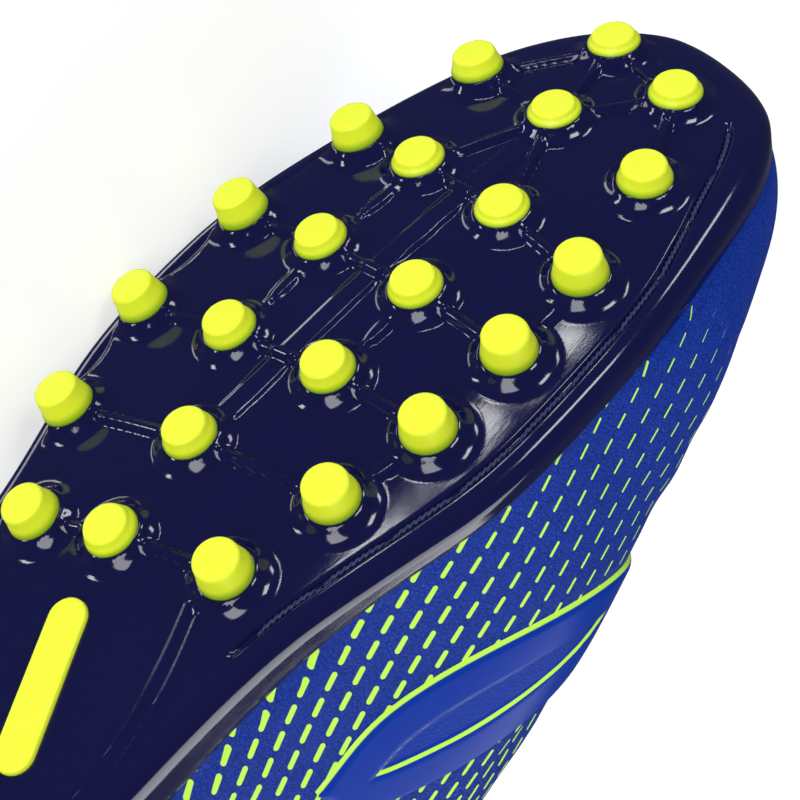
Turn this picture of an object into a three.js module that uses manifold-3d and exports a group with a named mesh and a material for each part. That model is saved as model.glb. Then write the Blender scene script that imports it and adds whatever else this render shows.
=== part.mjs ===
import * as THREE from 'three';
import Module from 'manifold-3d';
import { mergeVertices } from 'three/addons/utils/BufferGeometryUtils.js';
import { ConvexHull } from 'three/addons/math/ConvexHull.js';

// A right-foot soccer cleat. Lengths are millimetres. It is built standing, in the shoe's own frame:
// +X from heel to toe, +Y to the inner (medial) side, +Z up, with the ball studs' tips at Z = 0.
// At the end the whole shoe is laid down on its outer side.

// Driving sizes
const soleLength = 286;
const ballWidth = 94;
const plateRise = 5.2;
const collarHeight = 2.2;
const collarSpread = 3.2;
const studTipRadius = 4.3;
const studBaseRadius = 5.1;
const studBevel = 0.6;
const studHeight = 6.2;
const toeSpring = 12;
const springStart = 0.68;
const archRise = 4.5;
const crownRise = 4.3;
const plateThickness = 3.0;
const rimThickness = 1.7;
const stitchInset = 4.4;
const stitchWidth = 1.5;
const stitchDepth = 0.9;
const ribHeight = 0.9;
const ribWidth = 4.4;
const fitGap = 0.3;
const wall = 1.8;
const sideBulge = 4.5;
const toeBoxHeight = 43;
const ballHeight = 74;
const instepHeight = 108;
const ankleHeight = 118;
const heelHeight = 78;
const ankleDip = 62;
const throatHalfWidth = 11;
const eyestayBand = 13;
const eyestayDrop = 34;
const tongueReach = 24;
const overlayThickness = 0.9;
const tongueThickness = 2.4;
const insoleThickness = 2.6;
const laceRadius = 1.1;
const eyeletRadius = 2.7;
const laceRows = 4;
const segments = 10;
const collarSegments = 8;

// The plate's edge, heel to toe. Columns: x as a share of the sole's length, then the outer
// and the inner edge's y as shares of the ball width.
const heelTip = { x: 0, y: 0 };
const toeTip = { x: 1, y: 0.064 };
const edgeRows = [
  { x: 0.012, outer: -0.150, inner: 0.150 },
  { x: 0.048, outer: -0.262, inner: 0.262 },
  { x: 0.110, outer: -0.338, inner: 0.338 },
  { x: 0.200, outer: -0.345, inner: 0.342 },
  { x: 0.300, outer: -0.322, inner: 0.320 },
  { x: 0.400, outer: -0.332, inner: 0.345 },
  { x: 0.490, outer: -0.362, inner: 0.385 },
  { x: 0.570, outer: -0.450, inner: 0.452 },
  { x: 0.640, outer: -0.474, inner: 0.512 },
  { x: 0.720, outer: -0.455, inner: 0.527 },
  { x: 0.800, outer: -0.382, inner: 0.515 },
  { x: 0.880, outer: -0.300, inner: 0.470 },
  { x: 0.930, outer: -0.232, inner: 0.402 },
  { x: 0.972, outer: -0.125, inner: 0.305 },
  { x: 0.992, outer: -0.025, inner: 0.170 },
];

// Heights along the shoe: rows of [x share of the sole's length, share of the named height].
const archRows = [[0, 0.15], [0.12, 0], [0.24, 0.8], [0.34, 1], [0.45, 0.3], [0.52, 0], [1, 0]];
const sideWallHeight = 13;
const sideWallRows = [
  [0, 0.8], [0.15, 0.8], [0.34, 1], [0.46, 0.85], [0.58, 0.52], [0.86, 0.48], [1, 0.58],
];

// The crest of the closed foot form. Columns: x share, y share of the ball width, then z.
const crestRows = [
  { x: 0.165, y: 0.000, z: ankleHeight },
  { x: 0.340, y: 0.030, z: ankleHeight },
  { x: 0.450, y: 0.110, z: instepHeight },
  { x: 0.560, y: 0.150, z: (instepHeight + ballHeight) / 2 },
  { x: 0.680, y: 0.165, z: ballHeight },
  { x: 0.840, y: 0.130, z: toeBoxHeight + toeSpring / 2 },
];

// Studs: name, then x as a share of the sole's length, y as a share of the ball width, and the
// coloured cone's height as a share of the tallest one's. The forefoot's rows run from the toe
// back to the arch, each from the outer side to the inner side.
const studRows = [
  ['t1', 0.9650, -0.0213, 0.355], ['t2', 0.9458, 0.1915, 0.403],
  ['c1', 0.8986, -0.2181, 0.613], ['c2', 0.8881, 0.0266, 0.339], ['c3', 0.8724, 0.3032, 0.597],
  ['b1', 0.8077, -0.3032, 0.774], ['b2', 0.8077, -0.1223, 0.371],
  ['b3', 0.8024, 0.1223, 0.355], ['b4', 0.7885, 0.3617, 0.871],
  ['a1', 0.7168, -0.3777, 0.839], ['a2', 0.7220, -0.1489, 0.468],
  ['a3', 0.7238, 0.1117, 0.452], ['a4', 0.7185, 0.3670, 0.887],
  ['d1', 0.6259, -0.4043, 0.806], ['d2', 0.6381, -0.1596, 0.565],
  ['d3', 0.6469, 0.0957, 0.581], ['d4', 0.6486, 0.3511, 0.871],
  ['e1', 0.5402, -0.3511, 0.823], ['e2', 0.5647, -0.0426, 0.565], ['e3', 0.5804, 0.2979, 0.855],
  ['f1', 0.4685, -0.2074, 0.742], ['f2', 0.4878, -0.0266, 0.484], ['f3', 0.5070, 0.2340, 0.871],
  ['h1', 0.2378, -0.2340, 1.000], ['h2', 0.2448, 0.0000, 0.935], ['h3', 0.2378, 0.2340, 1.000],
  ['k1', 0.1573, -0.2553, 1.000], ['k2', 0.1608, 0.0000, 0.935], ['k3', 0.1573, 0.2553, 1.000],
  ['m1', 0.0804, -0.1968, 1.000], ['m2', 0.0699, 0.0000, 1.000], ['m3', 0.0804, 0.1968, 1.000],
];
const studs = studRows.map(([name, x, y, cone]) => [name, x * soleLength, y * ballWidth, cone * studHeight]);

// Low ribs that join studs, by the studs' names.
const ribs = [
  ['t1', 't2'], ['t1', 'c1'], ['t1', 'c2'], ['t2', 'c2'], ['t2', 'c3'], ['c1', 'c2'],
  ['c2', 'b2'], ['c2', 'b3'], ['b1', 'b2'], ['b2', 'b3'], ['b3', 'b4'],
  ['a1', 'a2'], ['a2', 'a3'], ['a3', 'a4'],
  ['d1', 'd2'], ['d2', 'd3'], ['d3', 'd4'], ['e1', 'e2'], ['e2', 'e3'], ['f1', 'f2'], ['f2', 'f3'],
];

const wasm = await Module();
wasm.setup();
const { Manifold, Mesh } = wasm;

// A geometry's faces as a closed body for joining and cutting.
function body(geometry) {
  const bare = new THREE.BufferGeometry();
  bare.setAttribute('position', geometry.getAttribute('position').clone());
  if (geometry.index) bare.setIndex(geometry.index.clone());
  const merged = mergeVertices(bare, 1e-4);
  const source = merged.index.array;
  const kept = [];
  for (let i = 0; i < source.length; i += 3) {
    const [a, b, c] = [source[i], source[i + 1], source[i + 2]];
    if (a !== b && b !== c && c !== a) kept.push(a, b, c);
  }
  const mesh = new Mesh({
    numProp: 3,
    vertProperties: new Float32Array(merged.getAttribute('position').array),
    triVerts: new Uint32Array(kept),
  });
  mesh.merge();
  return new Manifold(mesh);
}

// A cut body back as a geometry in the shoe's own frame.
function geometryOf(solid) {
  const mesh = solid.getMesh();
  const stride = mesh.numProp;
  const count = mesh.vertProperties.length / stride;
  const positions = new Float32Array(count * 3);
  for (let k = 0; k < count; k += 1) {
    for (let c = 0; c < 3; c += 1) positions[k * 3 + c] = mesh.vertProperties[k * stride + c];
  }
  const geometry = new THREE.BufferGeometry();
  geometry.setAttribute('position', new THREE.BufferAttribute(positions, 3));
  geometry.setIndex(new THREE.BufferAttribute(new Uint32Array(mesh.triVerts), 1));
  return geometry;
}

const closed = (points) => new THREE.CatmullRomCurve3(points, true, 'centripetal');
const clamp = THREE.MathUtils.clamp;
const lerp = THREE.MathUtils.lerp;

// A smooth function through [x share, value] rows.
function profile(rows) {
  const last = rows.length - 1;
  const slopes = rows.map((_, k) => {
    const [a, b] = [rows[Math.max(k - 1, 0)], rows[Math.min(k + 1, last)]];
    return (b[1] - a[1]) / (b[0] - a[0]);
  });
  return (share) => {
    let k = 1;
    while (k < last && rows[k][0] < share) k += 1;
    const [[x0, v0], [x1, v1]] = [rows[k - 1], rows[k]];
    const t = clamp((share - x0) / (x1 - x0), 0, 1);
    const step = x1 - x0;
    const [t2, t3] = [t * t, t * t * t];
    return (2 * t3 - 3 * t2 + 1) * v0 + (t3 - 2 * t2 + t) * step * slopes[k - 1]
      + (3 * t2 - 2 * t3) * v1 + (t3 - t2) * step * slopes[k];
  };
}

// The plate's edge as pairs of points that face each other across the sole, heel to toe and back.
const stepsPerRow = 2;
const loopPoints = [
  new THREE.Vector3(heelTip.x * soleLength, heelTip.y * ballWidth, 0),
  ...edgeRows.map((r) => new THREE.Vector3(r.x * soleLength, r.inner * ballWidth, 0)),
  new THREE.Vector3(toeTip.x * soleLength, toeTip.y * ballWidth, 0),
  ...edgeRows.slice().reverse().map((r) => new THREE.Vector3(r.x * soleLength, r.outer * ballWidth, 0)),
];
const edgeLoop = closed(loopPoints);
const around = loopPoints.length * stepsPerRow;
const edge = [];
for (let i = 0; i < around; i += 1) {
  const at = edgeLoop.getPoint(i / around);
  const along = edgeLoop.getTangent(i / around);
  edge.push({ at, out: new THREE.Vector3(-along.y, along.x, 0) });
}
edge.forEach((e, i) => {
  e.share = (e.at.x + edge[(around - i) % around].at.x) / (2 * soleLength);
});

// The heel-to-toe spine that each pair of edge points shrinks to.
const spineHeel = 0.13 * soleLength;
const spineToe = 0.86 * soleLength;
const spine = edge.map((e) => {
  const x = clamp(e.share * soleLength, spineHeel, spineToe);
  return new THREE.Vector3(x, midline(x), 0);
});

function midline(x) {
  const share = x / soleLength;
  let k = 1;
  while (k < edgeRows.length - 1 && edgeRows[k].x < share) k += 1;
  const [a, b] = [edgeRows[k - 1], edgeRows[k]];
  const t = clamp((share - a.x) / (b.x - a.x), 0, 1);
  return ballWidth * lerp((a.outer + a.inner) / 2, (b.outer + b.inner) / 2, t);
}

// The plate's ground face: toe spring, arch and a slight crown across.
const archAt = profile(archRows);
function groundZ(x, y) {
  const share = x / soleLength;
  const spring = toeSpring * Math.max(0, (share - springStart) / (1 - springStart)) ** 2;
  const crown = crownRise * (y / (ballWidth / 2)) ** 2;
  return plateRise + spring + crown + archRise * archAt(share);
}

// The direction straight out of the ground face, towards the ground.
function groundOut(x, y) {
  const slopeX = groundZ(x + 0.5, y) - groundZ(x - 0.5, y);
  const slopeY = groundZ(x, y + 0.5) - groundZ(x, y - 0.5);
  return new THREE.Vector3(slopeX, slopeY, -1).normalize();
}

// A closed solid from rings of points, each ring around the shoe, closed at both ends.
function ringSolid(rings) {
  const count = rings[0].length;
  const positions = rings.flat().flatMap((p) => [p.x, p.y, p.z]);
  const index = [];
  for (let r = 0; r < rings.length - 1; r += 1) {
    for (let i = 0; i < count; i += 1) {
      const j = (i + 1) % count;
      const [a, b, c, d] = [r * count + i, r * count + j, (r + 1) * count + j, (r + 1) * count + i];
      index.push(a, c, b, a, d, c);
    }
  }
  const geometry = new THREE.BufferGeometry();
  geometry.setAttribute('position', new THREE.Float32BufferAttribute(positions, 3));
  geometry.setIndex(index);
  return geometry;
}

// One ring inside the plate's edge: first shrunk towards the spine, then drawn in by an inset.
function plateRing(shrink, inset, rise) {
  return edge.map((e, i) => {
    const p = spine[i].clone().lerp(e.at, shrink);
    if (shrink === 1) p.addScaledVector(e.out, -(typeof inset === 'function' ? inset(e) : inset));
    p.z = groundZ(p.x, p.y) + (typeof rise === 'function' ? rise(e) : rise);
    return p;
  });
}

const sideWallAt = profile(sideWallRows);
const wallTop = (e) => sideWallHeight * sideWallAt(e.share);
const lean = (e) => 0.3 + 0.16 * Math.max(0, wallTop(e) - 6);
const stitchEnd = 0.43;
const stitched = (e) => e.at.y > toeTip.y * ballWidth && e.share > stitchEnd;
const groove = (e) => (stitched(e) ? stitchDepth : 0);

function plateSolid() {
  const floor = plateThickness;
  return body(ringSolid([
    plateRing(0, 0, 0),
    plateRing(0.6, 0, 0),
    plateRing(1, stitchInset + stitchWidth / 2, 0),
    plateRing(1, stitchInset, groove),
    plateRing(1, stitchInset - stitchWidth / 2, 0),
    plateRing(1, 0.6, 0.5),
    plateRing(1, 0, 2.4),
    plateRing(1, (e) => lean(e), (e) => wallTop(e)),
    plateRing(1, (e) => lean(e) + rimThickness * 0.7, (e) => wallTop(e)),
    plateRing(1, rimThickness + 0.4, floor),
    plateRing(0.5, 0, floor),
    plateRing(0, 0, floor),
  ]));
}

// A turned solid on the ground face at a stud, square to the face and pointing out of it.
function turned([, x, y, cone], sides, profilePoints) {
  const out = groundOut(x, y);
  const reach = collarHeight + cone;
  const [footX, footY] = [x - out.x * reach, y - out.y * reach];
  const geometry = new THREE.LatheGeometry(profilePoints.map(([r, z]) => new THREE.Vector2(r, z)), sides);
  geometry.applyQuaternion(new THREE.Quaternion().setFromUnitVectors(new THREE.Vector3(0, 1, 0), out));
  geometry.translate(footX, footY, groundZ(footX, footY));
  return body(geometry);
}

function collarSolid(stud) {
  return turned(stud, collarSegments, [
    [0, -plateThickness * 0.6],
    [studBaseRadius + collarSpread, -plateThickness * 0.6],
    [studBaseRadius + collarSpread, 0.05],
    [studBaseRadius + 0.2, collarHeight],
    [0, collarHeight],
  ]);
}

function studSolid(stud) {
  const reach = collarHeight + stud[3];
  return turned(stud, segments, [
    [0, collarHeight + fitGap],
    [studBaseRadius, collarHeight + fitGap],
    [studTipRadius, reach - studBevel],
    [studTipRadius - studBevel, reach],
    [0, reach],
  ]);
}

// A low rib with a rounded back between two studs.
function ribSolid([from, to]) {
  const [, startX, startY] = studs.find(([name]) => name === from);
  const [, endX, endY] = studs.find(([name]) => name === to);
  const start = new THREE.Vector3(startX, startY, groundZ(startX, startY));
  const end = new THREE.Vector3(endX, endY, groundZ(endX, endY));
  const half = ribWidth / 2;
  const rib = new THREE.Shape();
  rib.moveTo(plateThickness * 0.5, -half);
  rib.lineTo(-ribHeight, -half * 0.3);
  rib.lineTo(-ribHeight, half * 0.3);
  rib.lineTo(plateThickness * 0.5, half);
  const geometry = new THREE.ExtrudeGeometry(rib, { depth: start.distanceTo(end), bevelEnabled: false });
  const along = end.clone().sub(start).normalize();
  const side = new THREE.Vector3(0, 0, 1).cross(along).normalize();
  const up = along.clone().cross(side).normalize();
  const turn = new THREE.Matrix4().makeBasis(up, side.clone().negate(), along);
  geometry.applyMatrix4(turn.setPosition(start));
  return body(geometry);
}

// The closed foot form. Each rib of it runs from the feather line up to the crest. The inset
// moves the whole form inwards, and the bottom offset lowers or raises its underside.
const crestY = profile(crestRows.map((r) => [r.x, r.y]));
const crestZ = profile(crestRows.map((r) => [r.x, r.z]));
const featherInset = rimThickness + 0.4 + fitGap;
const crestHeel = crestRows[0].x;
const crestToe = crestRows[crestRows.length - 1].x;
const innerBulge = profile([
  [0, 0.9], [0.2, 0.8], [0.34, 3.1], [0.5, 3.9], [0.7, 1.7], [0.9, 1.0], [1, 0.8],
]);
const outerBulge = profile([
  [0, 0.9], [0.2, 0.4], [0.34, 0.2], [0.5, 1.0], [0.7, 0.9], [0.9, 0.8], [1, 0.8],
]);
const bulgeAt = (e) => (e.out.y > 0 ? innerBulge(e.share) : outerBulge(e.share));

function footPoint(e, turn, inset, bottom) {
  const share = clamp(e.share, crestHeel, crestToe);
  const crest = new THREE.Vector3(share * soleLength, crestY(share) * ballWidth, 0);
  crest.z = crestZ(share) - inset * 1.12;
  const foot = e.at.clone().addScaledVector(e.out, -(featherInset + inset));
  foot.z = groundZ(foot.x, foot.y) + bottom;
  const c = Math.cos(turn);
  const s = Math.sin(turn);
  const p = foot.clone().lerp(crest, 1 - c ** fullness);
  p.z = lerp(foot.z, crest.z, s ** fullness);
  const swell = sideBulge * bulgeAt(e) * Math.sin(Math.min(turn * 2.2, Math.PI)) ** 1.2;
  return p.addScaledVector(e.out, swell);
}

const fullness = 0.78;
const ribSteps = 7;
function footForm(inset, bottom, steps = ribSteps) {
  const rings = [];
  const base = edge.map((e) => footPoint(e, 0, inset, bottom));
  for (const shrink of [0, 0.6]) {
    rings.push(base.map((p, i) => {
      const q = spine[i].clone().lerp(p, shrink);
      q.z = groundZ(q.x, q.y) + bottom;
      return q;
    }));
  }
  for (let k = 0; k <= steps; k += 1) {
    rings.push(edge.map((e) => footPoint(e, (Math.PI / 2) * (k / steps), inset, bottom)));
  }
  return body(ringSolid(rings));
}

// A prism over a shape drawn in the plan (x, y), from one height to another.
function planPrism(points, low, high) {
  const shape = new THREE.Shape(points.map(([x, y]) => new THREE.Vector2(x, y)));
  const geometry = new THREE.ExtrudeGeometry(shape, { depth: high - low, bevelEnabled: false });
  geometry.translate(0, 0, low);
  return body(geometry);
}

// A prism over a shape drawn in the side view (x, z), across the shoe or part of it.
function sidePrism(points, near, far) {
  const shape = new THREE.Shape(points.map(([x, z]) => new THREE.Vector2(x, z)));
  const geometry = new THREE.ExtrudeGeometry(shape, { depth: far - near, bevelEnabled: false });
  geometry.rotateX(Math.PI / 2);
  geometry.translate(0, far, 0);
  return body(geometry);
}

function smoothLine(points, count) {
  const flat = points.map(([x, y]) => new THREE.Vector3(x, y, 0));
  const curve = new THREE.CatmullRomCurve3(flat, false, 'centripetal');
  return curve.getPoints(count).map((p) => [p.x, p.y]);
}

// Where cutting prisms end: behind the heel, beside the shoe and over it.
const behindHeel = -0.07 * soleLength;
const besideShoe = ballWidth;
const overShoe = 1.9 * ankleHeight;

// The collar's top line in the side view, and all that lies above it.
const throatBack = 0.40 * soleLength;
const topFront = 0.44 * soleLength;
const topLine = smoothLine([
  [behindHeel, 1.026 * heelHeight],
  [0.028 * soleLength, heelHeight],
  [0.13 * soleLength, 1.08 * ankleDip],
  [0.22 * soleLength, ankleDip],
  [0.32 * soleLength, 1.1935 * ankleDip],
  [throatBack, 1.0556 * instepHeight],
  [topFront, 1.2778 * instepHeight],
], 18);
const aboveCollar = (lift) => sidePrism([
  ...topLine.map(([x, z]) => [x, z + lift]),
  [topFront, overShoe],
  [behindHeel, overShoe],
], -besideShoe, besideShoe);

// The throat: a slot along the crest, rounded at its toe end.
const throatFront = 0.70 * soleLength;
const throatStart = throatBack - 0.0874 * soleLength;
const throatBlunt = 0.11 * throatHalfWidth;
function throatOutline(spread) {
  const left = [];
  const right = [];
  const stations = 5;
  for (let k = 0; k <= stations; k += 1) {
    const x = lerp(throatStart, throatFront - throatHalfWidth * 0.6, k / stations);
    const y = crestY(clamp(x / soleLength, crestHeel, crestToe)) * ballWidth;
    const half = throatHalfWidth * lerp(1.35, 0.75, k / stations) + spread;
    left.push([x, y + half]);
    right.unshift([x, y - half]);
  }
  const tipX = throatFront + spread;
  const tipY = crestY(throatFront / soleLength) * ballWidth;
  const tipHalf = throatHalfWidth * 0.4 + spread * 0.5;
  const tip = [[tipX - throatBlunt, tipY + tipHalf], [tipX - throatBlunt, tipY - tipHalf]];
  return [...left, ...tip, ...right].reverse();
}

// The lowest parts of what the throat's outline cuts out, inside the hollow upper.
const throatLow = 0.2037 * instepHeight;
const tongueLow = 0.24 * instepHeight;

// What the plate fills, with its clearance: below its floor and out to beyond its side wall.
const roomSide = 0.13 * ballWidth;
const roomDepth = 0.32 * ballWidth;
const plateRoom = body(ringSolid([
  plateRing(0, 0, -roomDepth),
  plateRing(1, -roomSide, -roomDepth),
  plateRing(1, -roomSide, (e) => wallTop(e) + fitGap),
  plateRing(1, (e) => lean(e) + rimThickness * 0.7 + fitGap, (e) => wallTop(e) + fitGap),
  plateRing(1, rimThickness + 0.4 + fitGap, plateThickness + fitGap),
  plateRing(0, 0, plateThickness + fitGap),
]));

const throatCut = planPrism(throatOutline(0), throatLow, overShoe);

// Eyelets in two rows beside the throat.
const eyelets = [];
for (let k = 0; k < laceRows; k += 1) {
  const t = k / (laceRows - 1);
  const x = lerp(0.45, 0.61, t) * soleLength;
  const y = crestY(x / soleLength) * ballWidth;
  const half = throatHalfWidth * lerp(1.25, 0.85, t) + eyestayBand * 0.45;
  eyelets.push({ x, inner: y + half, outer: y - half });
}

function eyeletCut(x, y, radius) {
  const geometry = new THREE.CylinderGeometry(radius, radius, overShoe - throatLow, 8);
  geometry.rotateX(Math.PI / 2);
  geometry.translate(x, y, (overShoe + throatLow) / 2);
  return body(geometry);
}

// The main piece of a cut, without the slivers that the cutting prisms leave behind.
const mainPiece = (solid) => solid.decompose().sort((a, b) => b.volume() - a.volume())[0];
const join = (bodies) => bodies.reduce((all, next) => all.add(next));
const eyeletCuts = (radius) => join(eyelets.flatMap(({ x, inner, outer }) => [
  eyeletCut(x, inner, radius), eyeletCut(x, outer, radius),
]));

const outsoleSolid = join([plateSolid(), ...studs.map(collarSolid), ...ribs.map(ribSolid)]);

// The underside of each form lies under the plate's floor, and a cutting form's a little lower.
const formDrop = 4;
const cutDrop = 4.5;

const upperSolid = footForm(0, -formDrop)
  .subtract(footForm(wall, -cutDrop))
  .subtract(plateRoom)
  .subtract(aboveCollar(0))
  .subtract(throatCut)
  .subtract(eyeletCuts(eyeletRadius));

const overlayLayer = footForm(-fitGap - overlayThickness, -formDrop)
  .subtract(footForm(-fitGap, -cutDrop))
  .subtract(plateRoom);

// All that lies near the crest in the side view, where the eyestay ends.
const nearCrest = sidePrism([
  ...crestRows.map((row) => [row.x * soleLength, row.z - eyestayDrop]),
  [crestToe * soleLength, overShoe],
  [crestHeel * soleLength, overShoe],
], -besideShoe, besideShoe);

const eyestaySolid = overlayLayer
  .intersect(planPrism(throatOutline(eyestayBand), throatLow, overShoe))
  .intersect(nearCrest)
  .subtract(throatCut)
  .subtract(aboveCollar(-1))
  .subtract(eyeletCuts(eyeletRadius + 0.8));

// The heel counter's top line: x as a share of the sole's length, z of the heel's height.
const counterRows = [
  [-0.07, 0.641], [0.021, 0.641], [0.105, 0.564], [0.196, 0.436], [0.266, 0.256], [0.294, -0.128],
];
const counterEdge = smoothLine(counterRows.map(([x, z]) => [x * soleLength, z * heelHeight]), 12);
const counterFoot = [behindHeel, counterRows[counterRows.length - 1][1] * heelHeight];
const counterSolid = overlayLayer
  .intersect(sidePrism([...counterEdge, counterFoot], -besideShoe, besideShoe));

// The raised panel on the inner side: a plain leaning leaf. Rows of x as a share of the sole's
// length and z of the instep's height.
const panelRows = [
  [0.4545, 0.3704], [0.5175, 0.3241], [0.6014, 0.3519], [0.6783, 0.4352], [0.7203, 0.5278],
  [0.6783, 0.5556], [0.6014, 0.5370], [0.5245, 0.5000], [0.4685, 0.4444], [0.4545, 0.3704],
];
const panelPoints = panelRows.map(([x, z]) => [x * soleLength, z * instepHeight]);
const panelOutline = smoothLine(panelPoints, 26).slice(0, -1);
const panelSolid = overlayLayer
  .intersect(sidePrism(panelOutline, 0.04 * ballWidth, besideShoe))
  .subtract(planPrism(throatOutline(eyestayBand + 2), throatLow, overShoe));

// The tongue: x as a share of the sole's length, then its half width as a share of the throat's.
const tongueInset = wall + fitGap;
const tongueRows = [[0.38, 1.727], [0.45, 1.909], [0.72, 1.273], [0.735, 0.727]];
const tongueSide = (sign) => tongueRows.map(([share, half]) => {
  const y = crestY(clamp(share, crestHeel, crestToe)) * ballWidth;
  return [share * soleLength, y + sign * half * throatHalfWidth];
});
const tongueSolid = footForm(tongueInset, -formDrop)
  .subtract(footForm(tongueInset + tongueThickness, -formDrop - 2))
  .intersect(planPrism([...tongueSide(-1), ...tongueSide(1).reverse()], tongueLow, overShoe))
  .subtract(aboveCollar(tongueReach));

const insoleInset = featherInset + wall;
const insoleSolid = body(ringSolid([
  plateRing(0, 0, plateThickness + fitGap),
  plateRing(1, insoleInset, plateThickness + fitGap),
  plateRing(1, insoleInset, plateThickness + fitGap + insoleThickness),
  plateRing(0, 0, plateThickness + fitGap + insoleThickness),
])).intersect(footForm(wall + fitGap * 1.5, -formDrop));

// Heights over a point in the plan: of the upper's outer face, and of the lace's middle line.
const laceLift = fitGap * 2 + overlayThickness + laceRadius;
const seen = new THREE.MeshBasicMaterial({ side: THREE.DoubleSide });
const faceOf = (inset) => new THREE.Mesh(geometryOf(footForm(inset, -formDrop)), seen);
const plumb = new THREE.Raycaster();
function heightOver(face) {
  return (x, y) => {
    plumb.set(new THREE.Vector3(x, y, overShoe), new THREE.Vector3(0, 0, -1));
    return plumb.intersectObject(face)[0].point.z;
  };
}
const topOver = heightOver(faceOf(0));
const laceOver = heightOver(faceOf(-laceLift));

// One crossing of the lace: out of one eyelet, over the throat and into the other.
function laceBar({ x, inner, outer }) {
  const turnIn = eyeletRadius * 1.6;
  const over = (y) => laceOver(x, y);
  const end = (y, towards) => [
    new THREE.Vector3(x, y, topOver(x, y) + 1.0),
    new THREE.Vector3(x, y, over(y + towards * turnIn)),
    new THREE.Vector3(x, y + towards * turnIn * 0.4, over(y + towards * turnIn) + 0.5),
  ];
  const across = [0.18, 0.34, 0.5, 0.66, 0.82].map((t) => {
    const y = lerp(outer, inner, t);
    return new THREE.Vector3(x, y, over(y) + 0.1);
  });
  const points = [...end(outer, 1), ...across, ...end(inner, -1).reverse()];
  const path = new THREE.CatmullRomCurve3(points, false, 'centripetal');
  const section = new THREE.Shape();
  section.absarc(0, 0, laceRadius, 0, Math.PI * 2, false);
  const sweep = { steps: 9, extrudePath: path, bevelEnabled: false, curveSegments: 2 };
  return body(new THREE.ExtrudeGeometry(section, sweep));
}

// The coloured capsule on the arch, just under the ground face.
const inlay = { half: 16, radius: 3.8, turn: 2.75, thickness: 0.9 };
inlay.x = 0.3934 * soleLength;
inlay.y = 0.0585 * ballWidth;
function inlaySolid() {
  const ring = (shrink, drop) => {
    const points = [];
    for (let k = 0; k < 24; k += 1) {
      const a = -(k + 0.5) * (Math.PI / 12);
      const straight = Math.sign(Math.cos(a)) * (inlay.half - inlay.radius);
      const u = (straight + Math.cos(a) * inlay.radius) * shrink;
      const v = Math.sin(a) * inlay.radius * shrink;
      const x = inlay.x + u * Math.cos(inlay.turn) - v * Math.sin(inlay.turn);
      const y = inlay.y + u * Math.sin(inlay.turn) + v * Math.cos(inlay.turn);
      points.push(new THREE.Vector3(x, y, groundZ(x, y) - drop));
    }
    return points;
  };
  const low = fitGap + inlay.thickness;
  return body(ringSolid([ring(0, low), ring(1, low), ring(1, fitGap), ring(0, fitGap)]));
}

const finishes = {
  plate: { color: 0x14162f, roughness: 0.12, metalness: 0 },
  stud: { color: 0xdcf51e, roughness: 0.45, metalness: 0 },
  upper: { color: 0x1a38a8, roughness: 0.5, metalness: 0 },
  trim: { color: 0x1a2f9c, roughness: 0.3, metalness: 0 },
  textile: { color: 0x12204f, roughness: 0.85, metalness: 0 },
  lace: { color: 0xcdf02a, roughness: 0.7, metalness: 0 },
};

const pieces = [
  ['outsole', outsoleSolid, finishes.plate],
  ['upper', mainPiece(upperSolid), finishes.upper],
  ['tongue', mainPiece(tongueSolid), finishes.textile],
  ['insole', insoleSolid, finishes.textile],
  ['eyestay', mainPiece(eyestaySolid), finishes.trim],
  ['heel_counter', mainPiece(counterSolid), finishes.trim],
  ['side_panel', mainPiece(panelSolid), finishes.trim],
  ['arch_inlay', inlaySolid(), finishes.stud],
  ...studs.map((stud) => [`stud_${stud[0]}`, studSolid(stud), finishes.stud]),
  ...eyelets.map((e, k) => [`lace_bar_${k + 1}`, laceBar(e), finishes.lace]),
];

// The volume and the centre of volume of a closed geometry.
function volumeCentre(geometry) {
  const position = geometry.getAttribute('position');
  const index = geometry.index.array;
  const centre = new THREE.Vector3();
  const [a, b, c] = [new THREE.Vector3(), new THREE.Vector3(), new THREE.Vector3()];
  let volume = 0;
  for (let k = 0; k < index.length; k += 3) {
    a.fromBufferAttribute(position, index[k]);
    b.fromBufferAttribute(position, index[k + 1]);
    c.fromBufferAttribute(position, index[k + 2]);
    const part = a.dot(b.clone().cross(c)) / 6;
    volume += part;
    centre.addScaledVector(a.clone().add(b).add(c), part / 4);
  }
  return { volume, centre: centre.divideScalar(volume) };
}

// The shoe's rest on its outer side: the face of the convex hull under the centre of volume.
const geometries = pieces.map(([, solid]) => geometryOf(solid));
const volumes = geometries.map(volumeCentre);
const total = volumes.reduce((sum, v) => sum + v.volume, 0);
const centre = new THREE.Vector3();
volumes.forEach((v) => centre.addScaledVector(v.centre, v.volume / total));
const cloud = geometries.flatMap((g) => {
  const position = g.getAttribute('position');
  const corner = (_, k) => new THREE.Vector3().fromBufferAttribute(position, k);
  return Array.from({ length: position.count }, corner);
});
const hull = new ConvexHull().setFromPoints(cloud);
const outward = new THREE.Vector3(0, -1, 0);
const restFace = hull.faces
  .map((face) => {
    const drop = face.distanceToPoint(centre) * -1;
    const under = centre.clone().addScaledVector(face.normal, drop);
    let inside = true;
    let link = face.edge;
    for (let k = 0; k < 3; k += 1) {
      const head = link.head().point;
      const tail = link.tail().point;
      const towards = under.clone().sub(tail);
      const side = head.clone().sub(tail).cross(towards);
      if (side.dot(face.normal) < 0) inside = false;
      link = link.next;
    }
    return { normal: face.normal.clone(), inside, lean: face.normal.dot(outward) };
  })
  .filter((face) => face.inside)
  .sort((a, b) => b.lean - a.lean)[0];

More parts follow.
